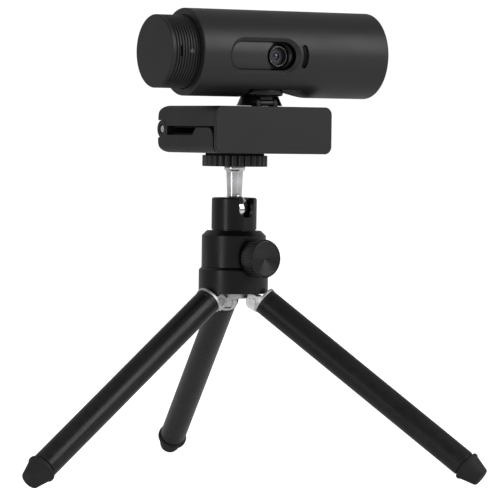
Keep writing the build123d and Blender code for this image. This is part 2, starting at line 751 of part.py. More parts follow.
def lens_bezel():
    """The dark plate under the window, with the well round the lens."""
    right = WINDOW_RIGHT + 0.9
    plate = rod_x(SLEEVE_R[0] - 0.4, -9.0, right) & block(-9, right, -20, -11.2, -8.4, 7.4)
    well = Pos(0, -13.4, 0) * Rot(90, 0, 0) * Cone(LENS_R + 0.3, WELL_R - 0.6, 2.6)
    return plate - LENS_SPOT * (well + rod_y(LENS_R + 0.05, -20, -5))


def lens_barrel():
    """A ring round a sunk disc with a small hole, as on a fixed-focus lens."""
    barrel = rod_y(LENS_R, LENS_FRONT, LENS_BACK)
    barrel = chamfer(barrel.edges().group_by(Axis.Y)[0], 0.35)
    barrel -= rod_y(LENS_R - LENS_RING, LENS_FRONT - 1, LENS_DISC)
    return barrel - rod_y(PUPIL_R + 0.02, LENS_FRONT, LENS_BACK + 1)


def lens_glass():
    """The front element, a small dome towards -Y that fills the hole."""
    dome_r = (PUPIL_R**2 + PUPIL_DOME**2) / (2 * PUPIL_DOME)
    dome = Pos(0, LENS_DISC - PUPIL_DOME + dome_r, 0) * Sphere(dome_r)
    return dome & rod_y(PUPIL_R, LENS_FRONT, LENS_DISC + 0.9)


def lens_holder():
    holder = block(-7, 7, -11.1, LENS_BACK + 0.5, -7, 7) - rod_y(LENS_R + 0.02, -20, -3)
    holder -= block(-5.2, 5.2, -5.0, -4.0, -5.2, 5.2)
    return fillet(holder.edges().filter_by(Axis.Y).sort_by(lambda e: -abs((e @ 0.5).X))[:4], 1.0)


def sensor_board():
    return block(-9, 9, -4.4, -3.4, -7.4, 7.4) + block(-3.5, 3.5, -4.9, -4.4, -2.9, 2.9)


def main_board():
    board = block(-18, 44, 1.0, 2.6, -8.4, 8.4)
    chips = block(-6, 6, 2.6, 3.9, -6, 6) + block(12, 20, 2.6, 3.6, -4, 4)
    link = block(-3, 3, -3.4, 1.0, 3.0, 6.0)
    stand = block(14, 17, 1.0 - 9.0, 1.0, -3.0, 3.0)
    return board + chips + link + stand


def indicator_window():
    return LENS_SPOT * arc_slot(ARC_WIDTH - 0.1, -20, -13.2) & rod_x(TUBE_R - 0.7, 0, 20)


def indicator_board():
    return block(8.2, 17.0, -9.6, -8.0, -6.0, 6.0) + block(10, 12.6, -12.4, -9.6, -2.0, 2.0)


def usb_socket():
    """The USB-C socket at the back, open towards +Y."""
    socket = stadium_y(USB_X - 4.47, USB_X + 4.47, 1.6, 9.8, 17.2)
    socket -= stadium_y(USB_X - 4.17, USB_X + 4.17, 1.3, 11.0, 18.0)
    tongue = block(USB_X - 3.3, USB_X + 3.3, 10.5, 15.8, -0.35, 0.35)
    leg = block(USB_X - 4.0, USB_X + 4.0, 2.6, 9.9, -1.5, 1.5)
    return socket + tongue + leg


def privacy_knob():
    """The ridged drum at the tube's left end."""
    left = TUBE_LEFT - KNOB_OUT
    right = TUBE_LEFT + KNOB_IN
    drum = rod_x(KNOB_R, left, right)
    drum = chamfer(drum.edges().group_by(Axis.X)[0], 0.35)
    pitch = (KNOB_OUT - KNOB_BAND) / KNOB_RIDGES
    for i in range(KNOB_RIDGES):
        x = left + KNOB_BAND + pitch * i
        groove = rod_x(KNOB_R + 1, x, x + RIDGE_GAP) - rod_x(KNOB_R - RIDGE_DEPTH, x - 1, x + 2)
        drum -= groove
    drum -= rod_x(KNOB_R - KNOB_WALL, left + KNOB_WALL, right + 1)
    slit_x = left + SLIT_FROM_FACE
    half = SLIT_HEIGHT / 2
    return drum - block(slit_x, slit_x + SLIT_WIDTH, -20, -KNOB_R + 3.0, -half, half)


def shutter_sleeve():
    """The strip that slides over the lens, on a ring in the knob's inner end."""
    inner, outer = SLEEVE_R
    root = TUBE_LEFT + KNOB_IN
    high = outer * sin(radians(SLEEVE_HALF_ANGLE))
    strip = block(-60, 5, -20, 0, -high, high)
    sleeve = (rod_x(outer, root, SLEEVE_END) - rod_x(inner, TUBE_LEFT, 5.0)) & strip
    sleeve -= LENS_SPOT * rod_y(WELL_R, -20, 0)
    arm = rod_x(outer, root - 1.8, root + 0.01) - rod_x(KNOB_R, TUBE_LEFT, root + 1)
    ring = rod_x(outer, root, root + 2.0) - rod_x(outer - 2.3, TUBE_LEFT, 0)
    return sleeve + (arm & strip) + ring


def make_webcam():
    body = tube_body()
    keep("front_shell", shell_half(body, True), WEBCAM)
    keep("rear_shell", shell_half(body, False), WEBCAM)
    keep("shell_screws", shell_screws(), WEBCAM)
    keep("right_end_cap", end_cap(), WEBCAM)
    keep("lens_bezel", lens_bezel(), WEBCAM)
    keep("lens_barrel", lens_barrel(), WEBCAM * LENS_SPOT)
    keep("lens_glass", lens_glass(), WEBCAM * LENS_SPOT)
    keep("lens_holder", lens_holder(), WEBCAM * LENS_SPOT)
    keep("sensor_board", sensor_board(), WEBCAM * LENS_SPOT)
    keep("main_board", main_board(), WEBCAM)
    keep("indicator_window", indicator_window(), WEBCAM)
    keep("indicator_board", indicator_board(), WEBCAM)
    keep("usb_socket", usb_socket(), WEBCAM)
    keep("privacy_knob", privacy_knob(), WEBCAM)
    keep("shutter_sleeve", shutter_sleeve(), WEBCAM)


make_legs()
make_head()
make_stud()
make_clip()
make_neck()
make_webcam()

os.makedirs("parts", exist_ok=True)
for name, shape in made.items():
    export_step(shape, f"parts/{name}.step")

whole = Compound(children=[copy for shape in made.values() for copy in shape.solids()])
box = whole.bounding_box()
print("box", [round(v, 2) for v in (*box.min, *box.max)])
print("fold pins: radius", round(pivot_radius, 3), "z", round(pivot_z, 3))
print("ball z", round(ball_z, 3), "lock z", round(lock_z, 3), "stud axis", TRIPOD_X, TRIPOD_Y)
print("clip pin y z", round(TRIPOD_Y + pin_y, 3), round(pin_z, 3))
print("tilt axle y z", round(TRIPOD_Y + axle_y, 3), round(axle_z, 3))
print("neck axis y", round(TRIPOD_Y + NECK_AXIS_Y, 3), "tube z", round(tube_z, 3))
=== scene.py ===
# %% [markdown]
# # Webcam on a tripod
# The solids come from a CAD model: every joint, hole and size
# is settled there. Blender gives the looks.

# %% Load the frame
import json
import math

import bmesh
import bpy
from mathutils import Matrix, Vector


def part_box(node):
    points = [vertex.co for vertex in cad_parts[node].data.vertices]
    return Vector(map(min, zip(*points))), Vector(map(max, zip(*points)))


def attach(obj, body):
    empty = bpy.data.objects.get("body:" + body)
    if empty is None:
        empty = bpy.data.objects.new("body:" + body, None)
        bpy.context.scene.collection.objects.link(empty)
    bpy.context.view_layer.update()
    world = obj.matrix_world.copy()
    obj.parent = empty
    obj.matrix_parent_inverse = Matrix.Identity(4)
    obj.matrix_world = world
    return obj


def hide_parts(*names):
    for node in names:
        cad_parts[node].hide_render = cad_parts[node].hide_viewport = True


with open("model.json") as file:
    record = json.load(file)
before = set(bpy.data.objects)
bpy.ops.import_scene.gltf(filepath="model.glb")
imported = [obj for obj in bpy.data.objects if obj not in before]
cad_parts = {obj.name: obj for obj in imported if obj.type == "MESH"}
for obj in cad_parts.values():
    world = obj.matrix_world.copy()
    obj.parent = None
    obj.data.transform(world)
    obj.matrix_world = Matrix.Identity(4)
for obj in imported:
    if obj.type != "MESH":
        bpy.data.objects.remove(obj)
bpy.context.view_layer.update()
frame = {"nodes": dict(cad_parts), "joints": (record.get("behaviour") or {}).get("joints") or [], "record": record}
nodes = frame["nodes"]
record = frame["record"]

# %% [markdown]
# ## Places taken from the frame
# Nothing is placed by eye. The joints say where the pins, the ball and the stud are,
# and each solid's own points say how big it is, so a change in the CAD model moves
# everything here with it.

# %% Joint places
MM = 0.001
joints = {joint["name"]: joint for joint in frame["joints"]}
body_of_node = {n: b for b, names in record["behaviour"]["bodies"].items() for n in names}
slot_of_node = {part["node"]: part["material_slot"] for part in record["subparts"]}


def joint_at(name):
    return Vector(joints[name]["pos_m"])


def joint_axis(name):
    return Vector(joints[name]["axis"]).normalized()


def frame_at(origin, along, side):
    """A place whose Z lies along one direction and whose Y lies near another."""
    z = along.normalized()
    x = side.cross(z).normalized()
    y = z.cross(x)
    turn = Matrix((x, y, z)).transposed()
    return Matrix.Translation(origin) @ turn.to_4x4()


def box_in(node, place):
    """A node's lowest and highest corners, measured in a turned place, in millimetres."""
    inverse = place.inverted()
    points = [(inverse @ vertex.co) / MM for vertex in nodes[node].data.vertices]
    low = Vector([min(p[i] for p in points) for i in range(3)])
    high = Vector([max(p[i] for p in points) for i in range(3)])
    return low, high


FULL_TURN = 2 * math.pi
SMOOTH_BELOW = math.radians(35)
UP = Vector((0, 0, 1))
FRONT = Vector((0, -1, 0))
LEFT = Vector((-1, 0, 0))
stud_place = Matrix.Translation(joint_at("clip_turn").xy.to_3d())
tripod_axis = joint_at("clip_turn").xy
print("tripod axis", tripod_axis, "ball", joint_at("ball_notch_tilt"))

# %% [markdown]
# ## Ways of working
# Most metal and many plastic pieces of this object are round, so they are made the way
# a lathe makes them: one outline is drawn point by point and spun about its axis. The
# other pieces start from a merged copy of their CAD solid, whose sharp corners get the
# small radius that a mould or a polishing wheel leaves. Light catches on that radius,
# and it is most of the difference between a model and a real product.

# %% Helpers for modelling
def only(piece):
    """Make one piece the only selected one."""
    bpy.ops.object.select_all(action="DESELECT")
    piece.select_set(True)
    bpy.context.view_layer.objects.active = piece


def edit(piece, mode="VERT"):
    only(piece)
    bpy.ops.object.mode_set(mode="EDIT")
    bpy.ops.mesh.select_mode(type=mode)


def leave_edit():
    bpy.ops.object.mode_set(mode="OBJECT")


def pick(piece, kind, test):
    """Select the vertices, edges or faces of the edited mesh that pass a test."""
    bpy.ops.mesh.select_all(action="DESELECT")
    mesh = bmesh.from_edit_mesh(piece.data)
    for part in getattr(mesh, kind):
        if test(part):
            part.select_set(True)
    bmesh.update_edit_mesh(piece.data)


def apply_modifier(piece, kind, **settings):
    """Add a modifier with its settings and make it part of the mesh."""
    only(piece)
    modifier = piece.modifiers.new(kind.lower(), kind)
    for name, value in settings.items():
        setattr(modifier, name, value)
    bpy.ops.object.modifier_apply(modifier=modifier.name)


def soften(piece, width, angle=30.0, segments=2):
    """Round every corner sharper than the angle, then shade the rest smooth."""
    if width > 0:
        apply_modifier(
            piece,
            "BEVEL",
            width=width * MM,
            segments=segments,
            limit_method="ANGLE",
            angle_limit=math.radians(angle),
        )
    only(piece)
    bpy.ops.object.shade_smooth_by_angle(angle=SMOOTH_BELOW)
    apply_modifier(piece, "WEIGHTED_NORMAL", keep_sharp=True)


def lathe(name, outline, steps=96):
    """Spin an outline of (radius, height) points, in millimetres, about Z."""
    bpy.ops.object.select_all(action="DESELECT")
    bpy.ops.mesh.primitive_plane_add(size=MM)
    piece = bpy.context.object
    piece.name = name
    edit(piece)
    bpy.ops.mesh.select_all(action="SELECT")
    bpy.ops.mesh.merge(type="CENTER")
    at = Vector((0, 0))
    for i, point in enumerate(outline):
        step = (Vector(point) - at) * MM
        move = (step.x, 0, step.y)
        if i == 0:
            bpy.ops.transform.translate(value=move)
        else:
            bpy.ops.mesh.extrude_region_move(TRANSFORM_OT_translate={"value": move})
        at = Vector(point)
    bpy.ops.mesh.select_all(action="SELECT")
    bpy.ops.mesh.spin(steps=steps, angle=FULL_TURN, center=(0, 0, 0), axis=(0, 0, 1))
    bpy.ops.mesh.select_all(action="SELECT")
    bpy.ops.mesh.remove_doubles(threshold=0.002 * MM)
    bpy.ops.mesh.normals_make_consistent(inside=False)
    leave_edit()
    return piece


def cad_copy(node, name):
    """A merged copy of a CAD solid, with flat areas as single faces."""
    mesh = nodes[node].data.copy()
    piece = bpy.data.objects.new(name, mesh)
    bpy.context.scene.collection.objects.link(piece)
    only(piece)
    bpy.ops.mesh.customdata_custom_splitnormals_clear()
    edit(piece)
    bpy.ops.mesh.select_all(action="SELECT")
    bpy.ops.mesh.remove_doubles(threshold=0.001 * MM)
    bpy.ops.mesh.dissolve_limited(angle_limit=math.radians(0.3))
    leave_edit()
    return piece


def settle(piece, place):
    """Carry the mesh to its place and leave the object itself at the origin."""
    piece.matrix_world = place
    only(piece)
    bpy.ops.object.transform_apply(location=True, rotation=True, scale=True)


def join(pieces, name):
    """Several meshes as one piece."""
    bpy.ops.object.select_all(action="DESELECT")
    for piece in pieces:
        piece.select_set(True)
    bpy.context.view_layer.objects.active = pieces[0]
    if len(pieces) > 1:
        bpy.ops.object.join()
    pieces[0].name = name
    return pieces[0]


def copy_to(piece, name, turn):
    """A copy with its own mesh, turned by a matrix."""
    again = piece.copy()
    again.data = piece.data.copy()
    again.name = name
    bpy.context.scene.collection.objects.link(again)
    settle(again, turn)
    return again


def cut(piece, cutter):
    """Take one closed shape out of another."""
    apply_modifier(piece, "BOOLEAN", operation="DIFFERENCE", object=cutter, solver="EXACT")
    bpy.data.objects.remove(cutter)


def box_cutter(size, place, corner=0.0):
    """A block in millimetres, with its upright corners rounded, for cutting."""
    bpy.ops.object.select_all(action="DESELECT")
    bpy.ops.mesh.primitive_cube_add(size=1)
    block = bpy.context.object
    block.scale = [side * MM for side in size]
    bpy.ops.object.transform_apply(location=False, rotation=False, scale=True)
    if corner > 0:
        edit(block, "EDGE")
        upright = lambda e: abs((e.verts[0].co - e.verts[1].co).normalized().z) > 0.9
        pick(block, "edges", upright)
        bpy.ops.mesh.bevel(offset=corner * MM, segments=4, affect="EDGES")
        leave_edit()
    settle(block, place)
    return block


finishes = {}


def hand_over(piece, node, finish=None, replaced=None):
    """Put a piece on the body it rides on, hide the CAD solid it stands for unless replaced is False, and give it
    its finish.
    """
    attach(piece, body_of_node[node])
    if replaced is not False:
        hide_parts(node)
    piece.data.materials.clear()
    piece.data.materials.append(finishes[finish or slot_of_node[node]])
    print(piece.name, "stands on", body_of_node[node], "with", len(piece.data.polygons), "faces")


# %% [markdown]
# ## Finishes
# Every surface here is dark or bright metal, moulded plastic or rubber. What tells
# them apart is not their colour but how they scatter light, so each effect that
# several of them share is a node group: the skin of a moulding, the marks of a lathe,
# the long grain of a drawn tube, worn edges and settled dust. The groups only put out
# colours, roughness and normals; the shader stays in each material.

# %% A helper for node groups
def new_group(name, inputs, outputs):
    """An empty shader node group with named sockets, and its two end nodes."""
    group = bpy.data.node_groups.new(name, "ShaderNodeTree")
    for label, kind, value in inputs:
        socket = group.interface.new_socket(name=label, in_out="INPUT", socket_type=kind)
        if value is not None:
            socket.default_value = value
    for label, kind in outputs:
        group.interface.new_socket(name=label, in_out="OUTPUT", socket_type=kind)
    start = group.nodes.new("NodeGroupInput")
    end = group.nodes.new("NodeGroupOutput")
    return group, start.outputs, end.inputs


def add(tree, kind, links=None, **settings):
    """A node with its settings; links maps a socket to what feeds it or to a value."""
    node = tree.nodes.new(kind)
    for name, value in settings.items():
        setattr(node, name, value)
    for socket, source in (links or {}).items():
        if isinstance(source, bpy.types.NodeSocket):
            tree.links.new(source, node.inputs[socket])
        else:
            node.inputs[socket].default_value = source
    return node


def spread(tree, value, from_low, from_high, to_low, to_high):
    """A value moved from one range to another, and kept inside it."""
    ranges = {
        "Value": value,
        "From Min": from_low,
        "From Max": from_high,
        "To Min": to_low,
        "To Max": to_high,
    }
    return add(tree, "ShaderNodeMapRange", ranges).outputs["Result"]


def maths(tree, operation, first, second):
    links = {0: first, 1: second}
    return add(tree, "ShaderNodeMath", links, operation=operation).outputs[0]


def blend_colours(tree, share, first, second):
    links = {"Factor": share, 6: first, 7: second}
    return add(tree, "ShaderNodeMix", links, data_type="RGBA").outputs[2]


COLOUR = "NodeSocketColor"
FLOAT = "NodeSocketFloat"
VECTOR = "NodeSocketVector"

# %% [markdown]
# ### Moulded skin
# A plastic moulding copies the spark-eroded face of its steel mould: a fine, even
# grain that breaks up highlights. Handling and flow add large faint clouds of
# slightly different gloss.

# %% The moulded skin group
skin, given, result = new_group(
    "moulded_skin",
    [
        ("Colour", COLOUR, (0.03, 0.03, 0.03, 1)),
        ("Roughness", FLOAT, 0.5),
        ("Grain Scale", FLOAT, 4000.0),
        ("Grain Depth", FLOAT, 0.1),
        ("Clouds", FLOAT, 0.05),
    ],
    [("Colour", COLOUR), ("Roughness", FLOAT), ("Normal", VECTOR)],
)
where = add(skin, "ShaderNodeTexCoord").outputs["Object"]
grain_links = {"Vector": where, "Scale": given["Grain Scale"], "Detail": 2.0}
grain = add(skin, "ShaderNodeTexNoise", grain_links)
clouds = add(skin, "ShaderNodeTexNoise", {"Vector": where, "Scale": 70.0, "Detail": 4.0})
drift = spread(skin, clouds.outputs["Fac"], 0.3, 0.7, -1.0, 1.0)
drift = maths(skin, "MULTIPLY", drift, given["Clouds"])
speck = spread(skin, grain.outputs["Fac"], 0.3, 0.7, -0.06, 0.06)
tone = maths(skin, "ADD", maths(skin, "ADD", drift, speck), 1.0)
dark = add(skin, "ShaderNodeVectorMath", {0: given["Colour"]}, operation="SCALE")
skin.links.new(tone, dark.inputs["Scale"])
skin.links.new(dark.outputs[0], result["Colour"])
skin.links.new(maths(skin, "ADD", given["Roughness"], drift), result["Roughness"])
bump_links = {"Height": grain.outputs["Fac"], "Strength": given["Grain Depth"]}
bump = add(skin, "ShaderNodeBump", bump_links)
bump.inputs["Distance"].default_value = 0.05 * MM
skin.links.new(bump.outputs["Normal"], result["Normal"])

# %% [markdown]
# ### Turned rings
# A lathe tool leaves a fine spiral that reads as rings round the axis. The group needs
# coordinates whose Z is that axis, which a Mapping node in each material gives it.

# %% The turned rings group
rings, given, result = new_group(
    "turned_rings",
    [
        ("Vector", VECTOR, None),
        ("Colour", COLOUR, (0.03, 0.03, 0.03, 1)),
        ("Roughness", FLOAT, 0.3),
        ("Ring Scale", FLOAT, 900.0),
        ("Ring Depth", FLOAT, 0.2),
    ],
    [("Colour", COLOUR), ("Roughness", FLOAT), ("Normal", VECTOR)],
)
wave = add(
    rings,
    "ShaderNodeTexWave",
    {"Vector": given["Vector"], "Scale": given["Ring Scale"], "Distortion": 0.6, "Detail": 2.0},
    wave_type="RINGS",
    rings_direction="Z",
)
smear = add(rings, "ShaderNodeTexNoise", {"Vector": given["Vector"], "Scale": 120.0, "Detail": 3.0})
change = spread(rings, smear.outputs["Fac"], 0.3, 0.7, -0.05, 0.05)
tone = maths(rings, "ADD", spread(rings, wave.outputs["Fac"], 0.0, 1.0, 0.88, 1.12), change)
lit = add(rings, "ShaderNodeVectorMath", {0: given["Colour"]}, operation="SCALE")
rings.links.new(tone, lit.inputs["Scale"])
rings.links.new(lit.outputs[0], result["Colour"])
rings.links.new(maths(rings, "ADD", given["Roughness"], change), result["Roughness"])
bump_links = {"Height": wave.outputs["Fac"], "Strength": given["Ring Depth"]}
bump = add(rings, "ShaderNodeBump", bump_links)
bump.inputs["Distance"].default_value = 0.03 * MM
rings.links.new(bump.outputs["Normal"], result["Normal"])

# %% [markdown]
# ### Drawn grain
# A drawn and anodised tube keeps faint straight lines along its length. A noise that
# is stretched along Z gives them.

# %% The drawn grain group
drawn, given, result = new_group(
    "drawn_grain",
    [
        ("Vector", VECTOR, None),
        ("Colour", COLOUR, (0.02, 0.02, 0.02, 1)),
        ("Roughness", FLOAT, 0.3),
        ("Line Depth", FLOAT, 0.15),
    ],
    [("Colour", COLOUR), ("Roughness", FLOAT), ("Normal", VECTOR)],
)
LONG_GRAIN = (1, 1, 0.012)
stretch_links = {0: given["Vector"], 1: LONG_GRAIN}
stretch = add(drawn, "ShaderNodeVectorMath", stretch_links, operation="MULTIPLY")
line_links = {"Vector": stretch.outputs[0], "Scale": 3500.0, "Detail": 3.0}
lines = add(drawn, "ShaderNodeTexNoise", line_links)
patch = add(drawn, "ShaderNodeTexNoise", {"Vector": given["Vector"], "Scale": 60.0, "Detail": 3.0})
change = maths(
    drawn,
    "ADD",
    spread(drawn, lines.outputs["Fac"], 0.3, 0.7, -0.05, 0.05),
    spread(drawn, patch.outputs["Fac"], 0.3, 0.7, -0.04, 0.04),
)
lit = add(drawn, "ShaderNodeVectorMath", {0: given["Colour"]}, operation="SCALE")
tone = maths(drawn, "ADD", maths(drawn, "MULTIPLY", change, 2.0), 1.0)
drawn.links.new(tone, lit.inputs["Scale"])
drawn.links.new(lit.outputs[0], result["Colour"])
drawn.links.new(maths(drawn, "ADD", given["Roughness"], change), result["Roughness"])
bump_links = {"Height": lines.outputs["Fac"], "Strength": given["Line Depth"]}
bump = add(drawn, "ShaderNodeBump", bump_links)
bump.inputs["Distance"].default_value = 0.02 * MM
drawn.links.new(bump.outputs["Normal"], result["Normal"])

# %% [markdown]
# ### Worn edges and settled dust
# Paint and anodising rub thin on outward corners, where the metal shows a little
# lighter, and dust settles as specks on surfaces that face up. Both only change the
# colour and roughness that they are given, so they can follow any other group.

# %% The worn edges and settled dust groups
worn, given, result = new_group(
    "worn_edges",
    [
        ("Colour", COLOUR, (0.03, 0.03, 0.03, 1)),
        ("Worn Colour", COLOUR, (0.2, 0.2, 0.2, 1)),
        ("Roughness", FLOAT, 0.4),
        ("Amount", FLOAT, 0.3),
    ],
    [("Colour", COLOUR), ("Roughness", FLOAT)],
)
shape = add(worn, "ShaderNodeNewGeometry").outputs["Pointiness"]
where = add(worn, "ShaderNodeTexCoord").outputs["Object"]
rub = add(worn, "ShaderNodeTexNoise", {"Vector": where, "Scale": 400.0, "Detail": 4.0})
edge = spread(worn, shape, 0.53, 0.62, 0.0, 1.0)
edge = maths(worn, "MULTIPLY", edge, spread(worn, rub.outputs["Fac"], 0.35, 0.65, 0.2, 1.0))
edge = maths(worn, "MULTIPLY", edge, given["Amount"])
worn.links.new(blend_colours(worn, edge, given["Colour"], given["Worn Colour"]), result["Colour"])
thin = maths(worn, "MULTIPLY", edge, -0.12)
worn.links.new(maths(worn, "ADD", given["Roughness"], thin), result["Roughness"])

dust, given, result = new_group(
    "settled_dust",
    [
        ("Colour", COLOUR, (0.03, 0.03, 0.03, 1)),
        ("Roughness", FLOAT, 0.4),
        ("Dust", FLOAT, 0.2),
    ],
    [("Colour", COLOUR), ("Roughness", FLOAT)],
)
facing = add(dust, "ShaderNodeNewGeometry").outputs["Normal"]
upward = add(dust, "ShaderNodeSeparateXYZ", {"Vector": facing}).outputs["Z"]
where = add(dust, "ShaderNodeTexCoord").outputs["Object"]
specks = add(dust, "ShaderNodeTexNoise", {"Vector": where, "Scale": 1800.0, "Detail": 3.0})
share = maths(
    dust,
    "MULTIPLY",
    spread(dust, upward, 0.4, 1.0, 0.0, 1.0),
    spread(dust, specks.outputs["Fac"], 0.58, 0.72, 0.0, 1.0),
)
share = maths(dust, "MULTIPLY", share, given["Dust"])
dust_colour = (0.3, 0.29, 0.27, 1)
dust.links.new(blend_colours(dust, share, given["Colour"], dust_colour), result["Colour"])
chalky = maths(dust, "MULTIPLY", share, 0.3)
dust.links.new(maths(dust, "ADD", given["Roughness"], chalky), result["Roughness"])
print("groups:", sorted(group.name for group in bpy.data.node_groups))

# %% [markdown]
# ### The materials
# Each material picks one of the three surface groups, then passes through worn edges
# and dust. Plain numbers that hold for the whole surface, such as how metallic it is,
# are set on the shader itself.

# %% Helpers for materials
def grey(value, tint=(1.0, 1.0, 1.0)):
    return (value * tint[0], value * tint[1], value * tint[2], 1.0)


def group_node(tree, name, links):
    node = tree.nodes.new("ShaderNodeGroup")
    node.node_tree = bpy.data.node_groups[name]
    for socket, source in links.items():
        if isinstance(source, bpy.types.NodeSocket):
            tree.links.new(source, node.inputs[socket])
        else:
            node.inputs[socket].default_value = source
    return node


def centred(tree, place):
    """Object coordinates measured from a place, with Z along its axis."""
    where = add(tree, "ShaderNodeTexCoord").outputs["Object"]
    mapping = add(tree, "ShaderNodeMapping", {"Vector": where}, vector_type="TEXTURE")
    mapping.inputs["Location"].default_value = place.to_translation()
    mapping.inputs["Rotation"].default_value = place.to_euler()
    return mapping.outputs["Vector"]


def finish(name, surface, links, place=None, wear=0.0, worn_to=0.2, dusty=0.1, **sockets):
    """A material: a surface group, then wear and dust, then the shader."""
    material = bpy.data.materials.new(name)
    material.use_nodes = True
    tree = material.node_tree
    shader = tree.nodes["Principled BSDF"]
    links = dict(links)
    if place is not None:
        links["Vector"] = centred(tree, place)
    top = group_node(tree, surface, links)
    tree.links.new(top.outputs["Normal"], shader.inputs["Normal"])
    colour, rough = top.outputs["Colour"], top.outputs["Roughness"]
    if wear > 0:
        edge_links = {"Colour": colour, "Roughness": rough, "Amount": wear}
        edge_links["Worn Colour"] = grey(worn_to)
        layer = group_node(tree, "worn_edges", edge_links)
        colour, rough = layer.outputs["Colour"], layer.outputs["Roughness"]
    if dusty > 0:
        dust_links = {"Colour": colour, "Roughness": rough, "Dust": dusty}
        layer = group_node(tree, "settled_dust", dust_links)
        colour, rough = layer.outputs["Colour"], layer.outputs["Roughness"]
    tree.links.new(colour, shader.inputs["Base Color"])
    tree.links.new(rough, shader.inputs["Roughness"])
    for socket, value in sockets.items():
        shader.inputs[socket.replace("_", " ")].default_value = value
    finishes[name] = material
    return material


def moulded(name, colour, roughness, grain=4000.0, depth=0.12, clouds=0.04, **more):
    links = {
        "Colour": colour,
        "Roughness": roughness,
        "Grain Scale": grain,
        "Grain Depth": depth,
        "Clouds": clouds,
    }
    return finish(name, "moulded_skin", links, **more)


def ringed(name, colour, roughness, place, ring_scale=900.0, depth=0.2, **more):
    links = {
        "Colour": colour,
        "Roughness": roughness,
        "Ring Scale": ring_scale,
        "Ring Depth": depth,
    }
    return finish(name, "turned_rings", links, place=place, **more)


# %% [markdown]
# ### Plastics and rubbers
# The housing is a dark satin plastic, the clip a little darker and matter, and the
# trim round the lens nearly black. Rubber is matt, because its skin is rough at a
# much finer scale than any highlight.

# %% Plastics and rubbers
moulded("shell_plastic", grey(0.018), 0.42, grain=5200.0, depth=0.10, dusty=0.05)
moulded("knob_plastic", grey(0.010), 0.45, grain=5200.0, depth=0.10, dusty=0.05)
moulded("shutter_plastic", grey(0.026), 0.38, grain=5200.0, depth=0.08, dusty=0.02)
moulded("knob_mark", grey(0.06), 0.35, grain=5200.0, depth=0.05, dusty=0.0)
moulded("clip_plastic", grey(0.011), 0.50, grain=3600.0, depth=0.22, dusty=0.06)
moulded("black_trim", grey(0.003), 0.33, grain=5200.0, depth=0.06, dusty=0.03)
moulded("neck_disc", grey(0.006), 0.24, grain=5200.0, depth=0.04, dusty=0.05)
moulded("wheel_plastic", grey(0.022), 0.33, grain=4200.0, depth=0.08, dusty=0.03)
# Rubber: its own near-black colour, set darker still and with weaker reflection, which paints the shade in the gap
# between the clip's jaws where the pads sit.
moulded("rubber", grey(0.006), 0.80, grain=2600.0, depth=0.5, clouds=0.06, Specular_IOR_Level=0.25)
moulded("foot_rubber", grey(0.010), 0.62, grain=2600.0, depth=0.35, clouds=0.06, dusty=0.15)
moulded("circuit_board", (0.01, 0.07, 0.03, 1), 0.35, grain=700.0, depth=0.6, clouds=0.2, dusty=0.0)
moulded("lens_disc", grey(0.060), 0.42, grain=6000.0, depth=0.05, dusty=0.0)
moulded("indicator", grey(0.002), 0.50, depth=0.05, dusty=0.0, Specular_IOR_Level=0.15)
glass = moulded("lens_glass", (0.004, 0.004, 0.008, 1), 0.05, depth=0.0, clouds=0.01, dusty=0.0)
coating = glass.node_tree.nodes["Principled BSDF"].inputs
coating["Coat Weight"].default_value = 1.0
coating["Coat Tint"].default_value = (0.72, 0.66, 1.0, 1)
coating["Specular IOR Level"].default_value = 0.9

# %% [markdown]
# ### Metals
# Bright metal is all reflection: its colour is the colour of its mirror image. Black
# anodised metal is a dark satin layer over it, so it is set up like a smooth paint,
# and its worn corners show the metal again.

# %% Metals
lock_place = frame_at(joint_at("lock_turn"), joint_axis("lock_turn"), UP)
pin_place = frame_at(joint_at("clip_open"), joint_axis("clip_open"), UP)
ringed("chrome", grey(0.80, (1, 1, 1.02)), 0.11, stud_place, depth=0.04, dusty=0.0, Metallic=1.0)
ringed("steel", grey(0.55), 0.28, stud_place, depth=0.12, dusty=0.0, Metallic=1.0)
ringed("pin_steel", grey(0.70), 0.16, pin_place, depth=0.10, dusty=0.0, Metallic=1.0)
ringed("brass", (0.62, 0.42, 0.18, 1), 0.25, stud_place, dusty=0.0, Metallic=1.0)
ringed(
    "head_metal",
    grey(0.003),
    0.29,
    stud_place,
    depth=0.05,
    wear=0.25,
    worn_to=0.12,
    dusty=0.05,
    Specular_IOR_Level=0.38,
)
ringed("knob_metal", grey(0.004), 0.20, lock_place, depth=0.22, wear=0.2, dusty=0.03)
BARE = {"dusty": 0.0, "Metallic": 1.0}
moulded("hub_metal", grey(0.74), 0.40, grain=1400.0, depth=0.35, clouds=0.08, **BARE)
moulded("collar_metal", grey(0.80), 0.42, grain=1400.0, depth=0.25, clouds=0.06, **BARE)
moulded("lens_ring", grey(0.55), 0.30, grain=6000.0, depth=0.03, clouds=0.02, **BARE)


def leg_place(letter):
    """A leg's own place: Z down its tube, Y along its fold pin."""
    pivot = joint_at(f"leg_{letter}_fold")
    outward = (pivot.xy - tripod_axis).normalized().to_3d()
    spread_angle = math.radians(max(joints[f"leg_{letter}_fold"]["range_deg"]))
    down = outward * math.sin(spread_angle) - UP * math.cos(spread_angle)
    low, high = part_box(f"leg_{letter}_tube")
    return frame_at((low + high) / 2, down, joint_axis(f"leg_{letter}_fold"))


LEGS = ("a", "b", "c")
DULLER = {"Specular_IOR_Level": 0.38}
for letter in LEGS:
    lines = {"Colour": grey(0.004), "Roughness": 0.30, "Line Depth": 0.12}
    black = {"place": leg_place(letter), "wear": 0.3, "dusty": 0.06, **DULLER}
    finish(f"leg_black_{letter}", "drawn_grain", lines, **black)
print("finishes:", sorted(finishes))


# %% [markdown]
# ## The webcam's tube
# The housing is two half-round shells that meet along the top and bottom. Their shapes
# come from the CAD model; here the window's edge, the bevel round it and the tube's
# ends get their small radii. A seam line stays between the halves, as on the real one.

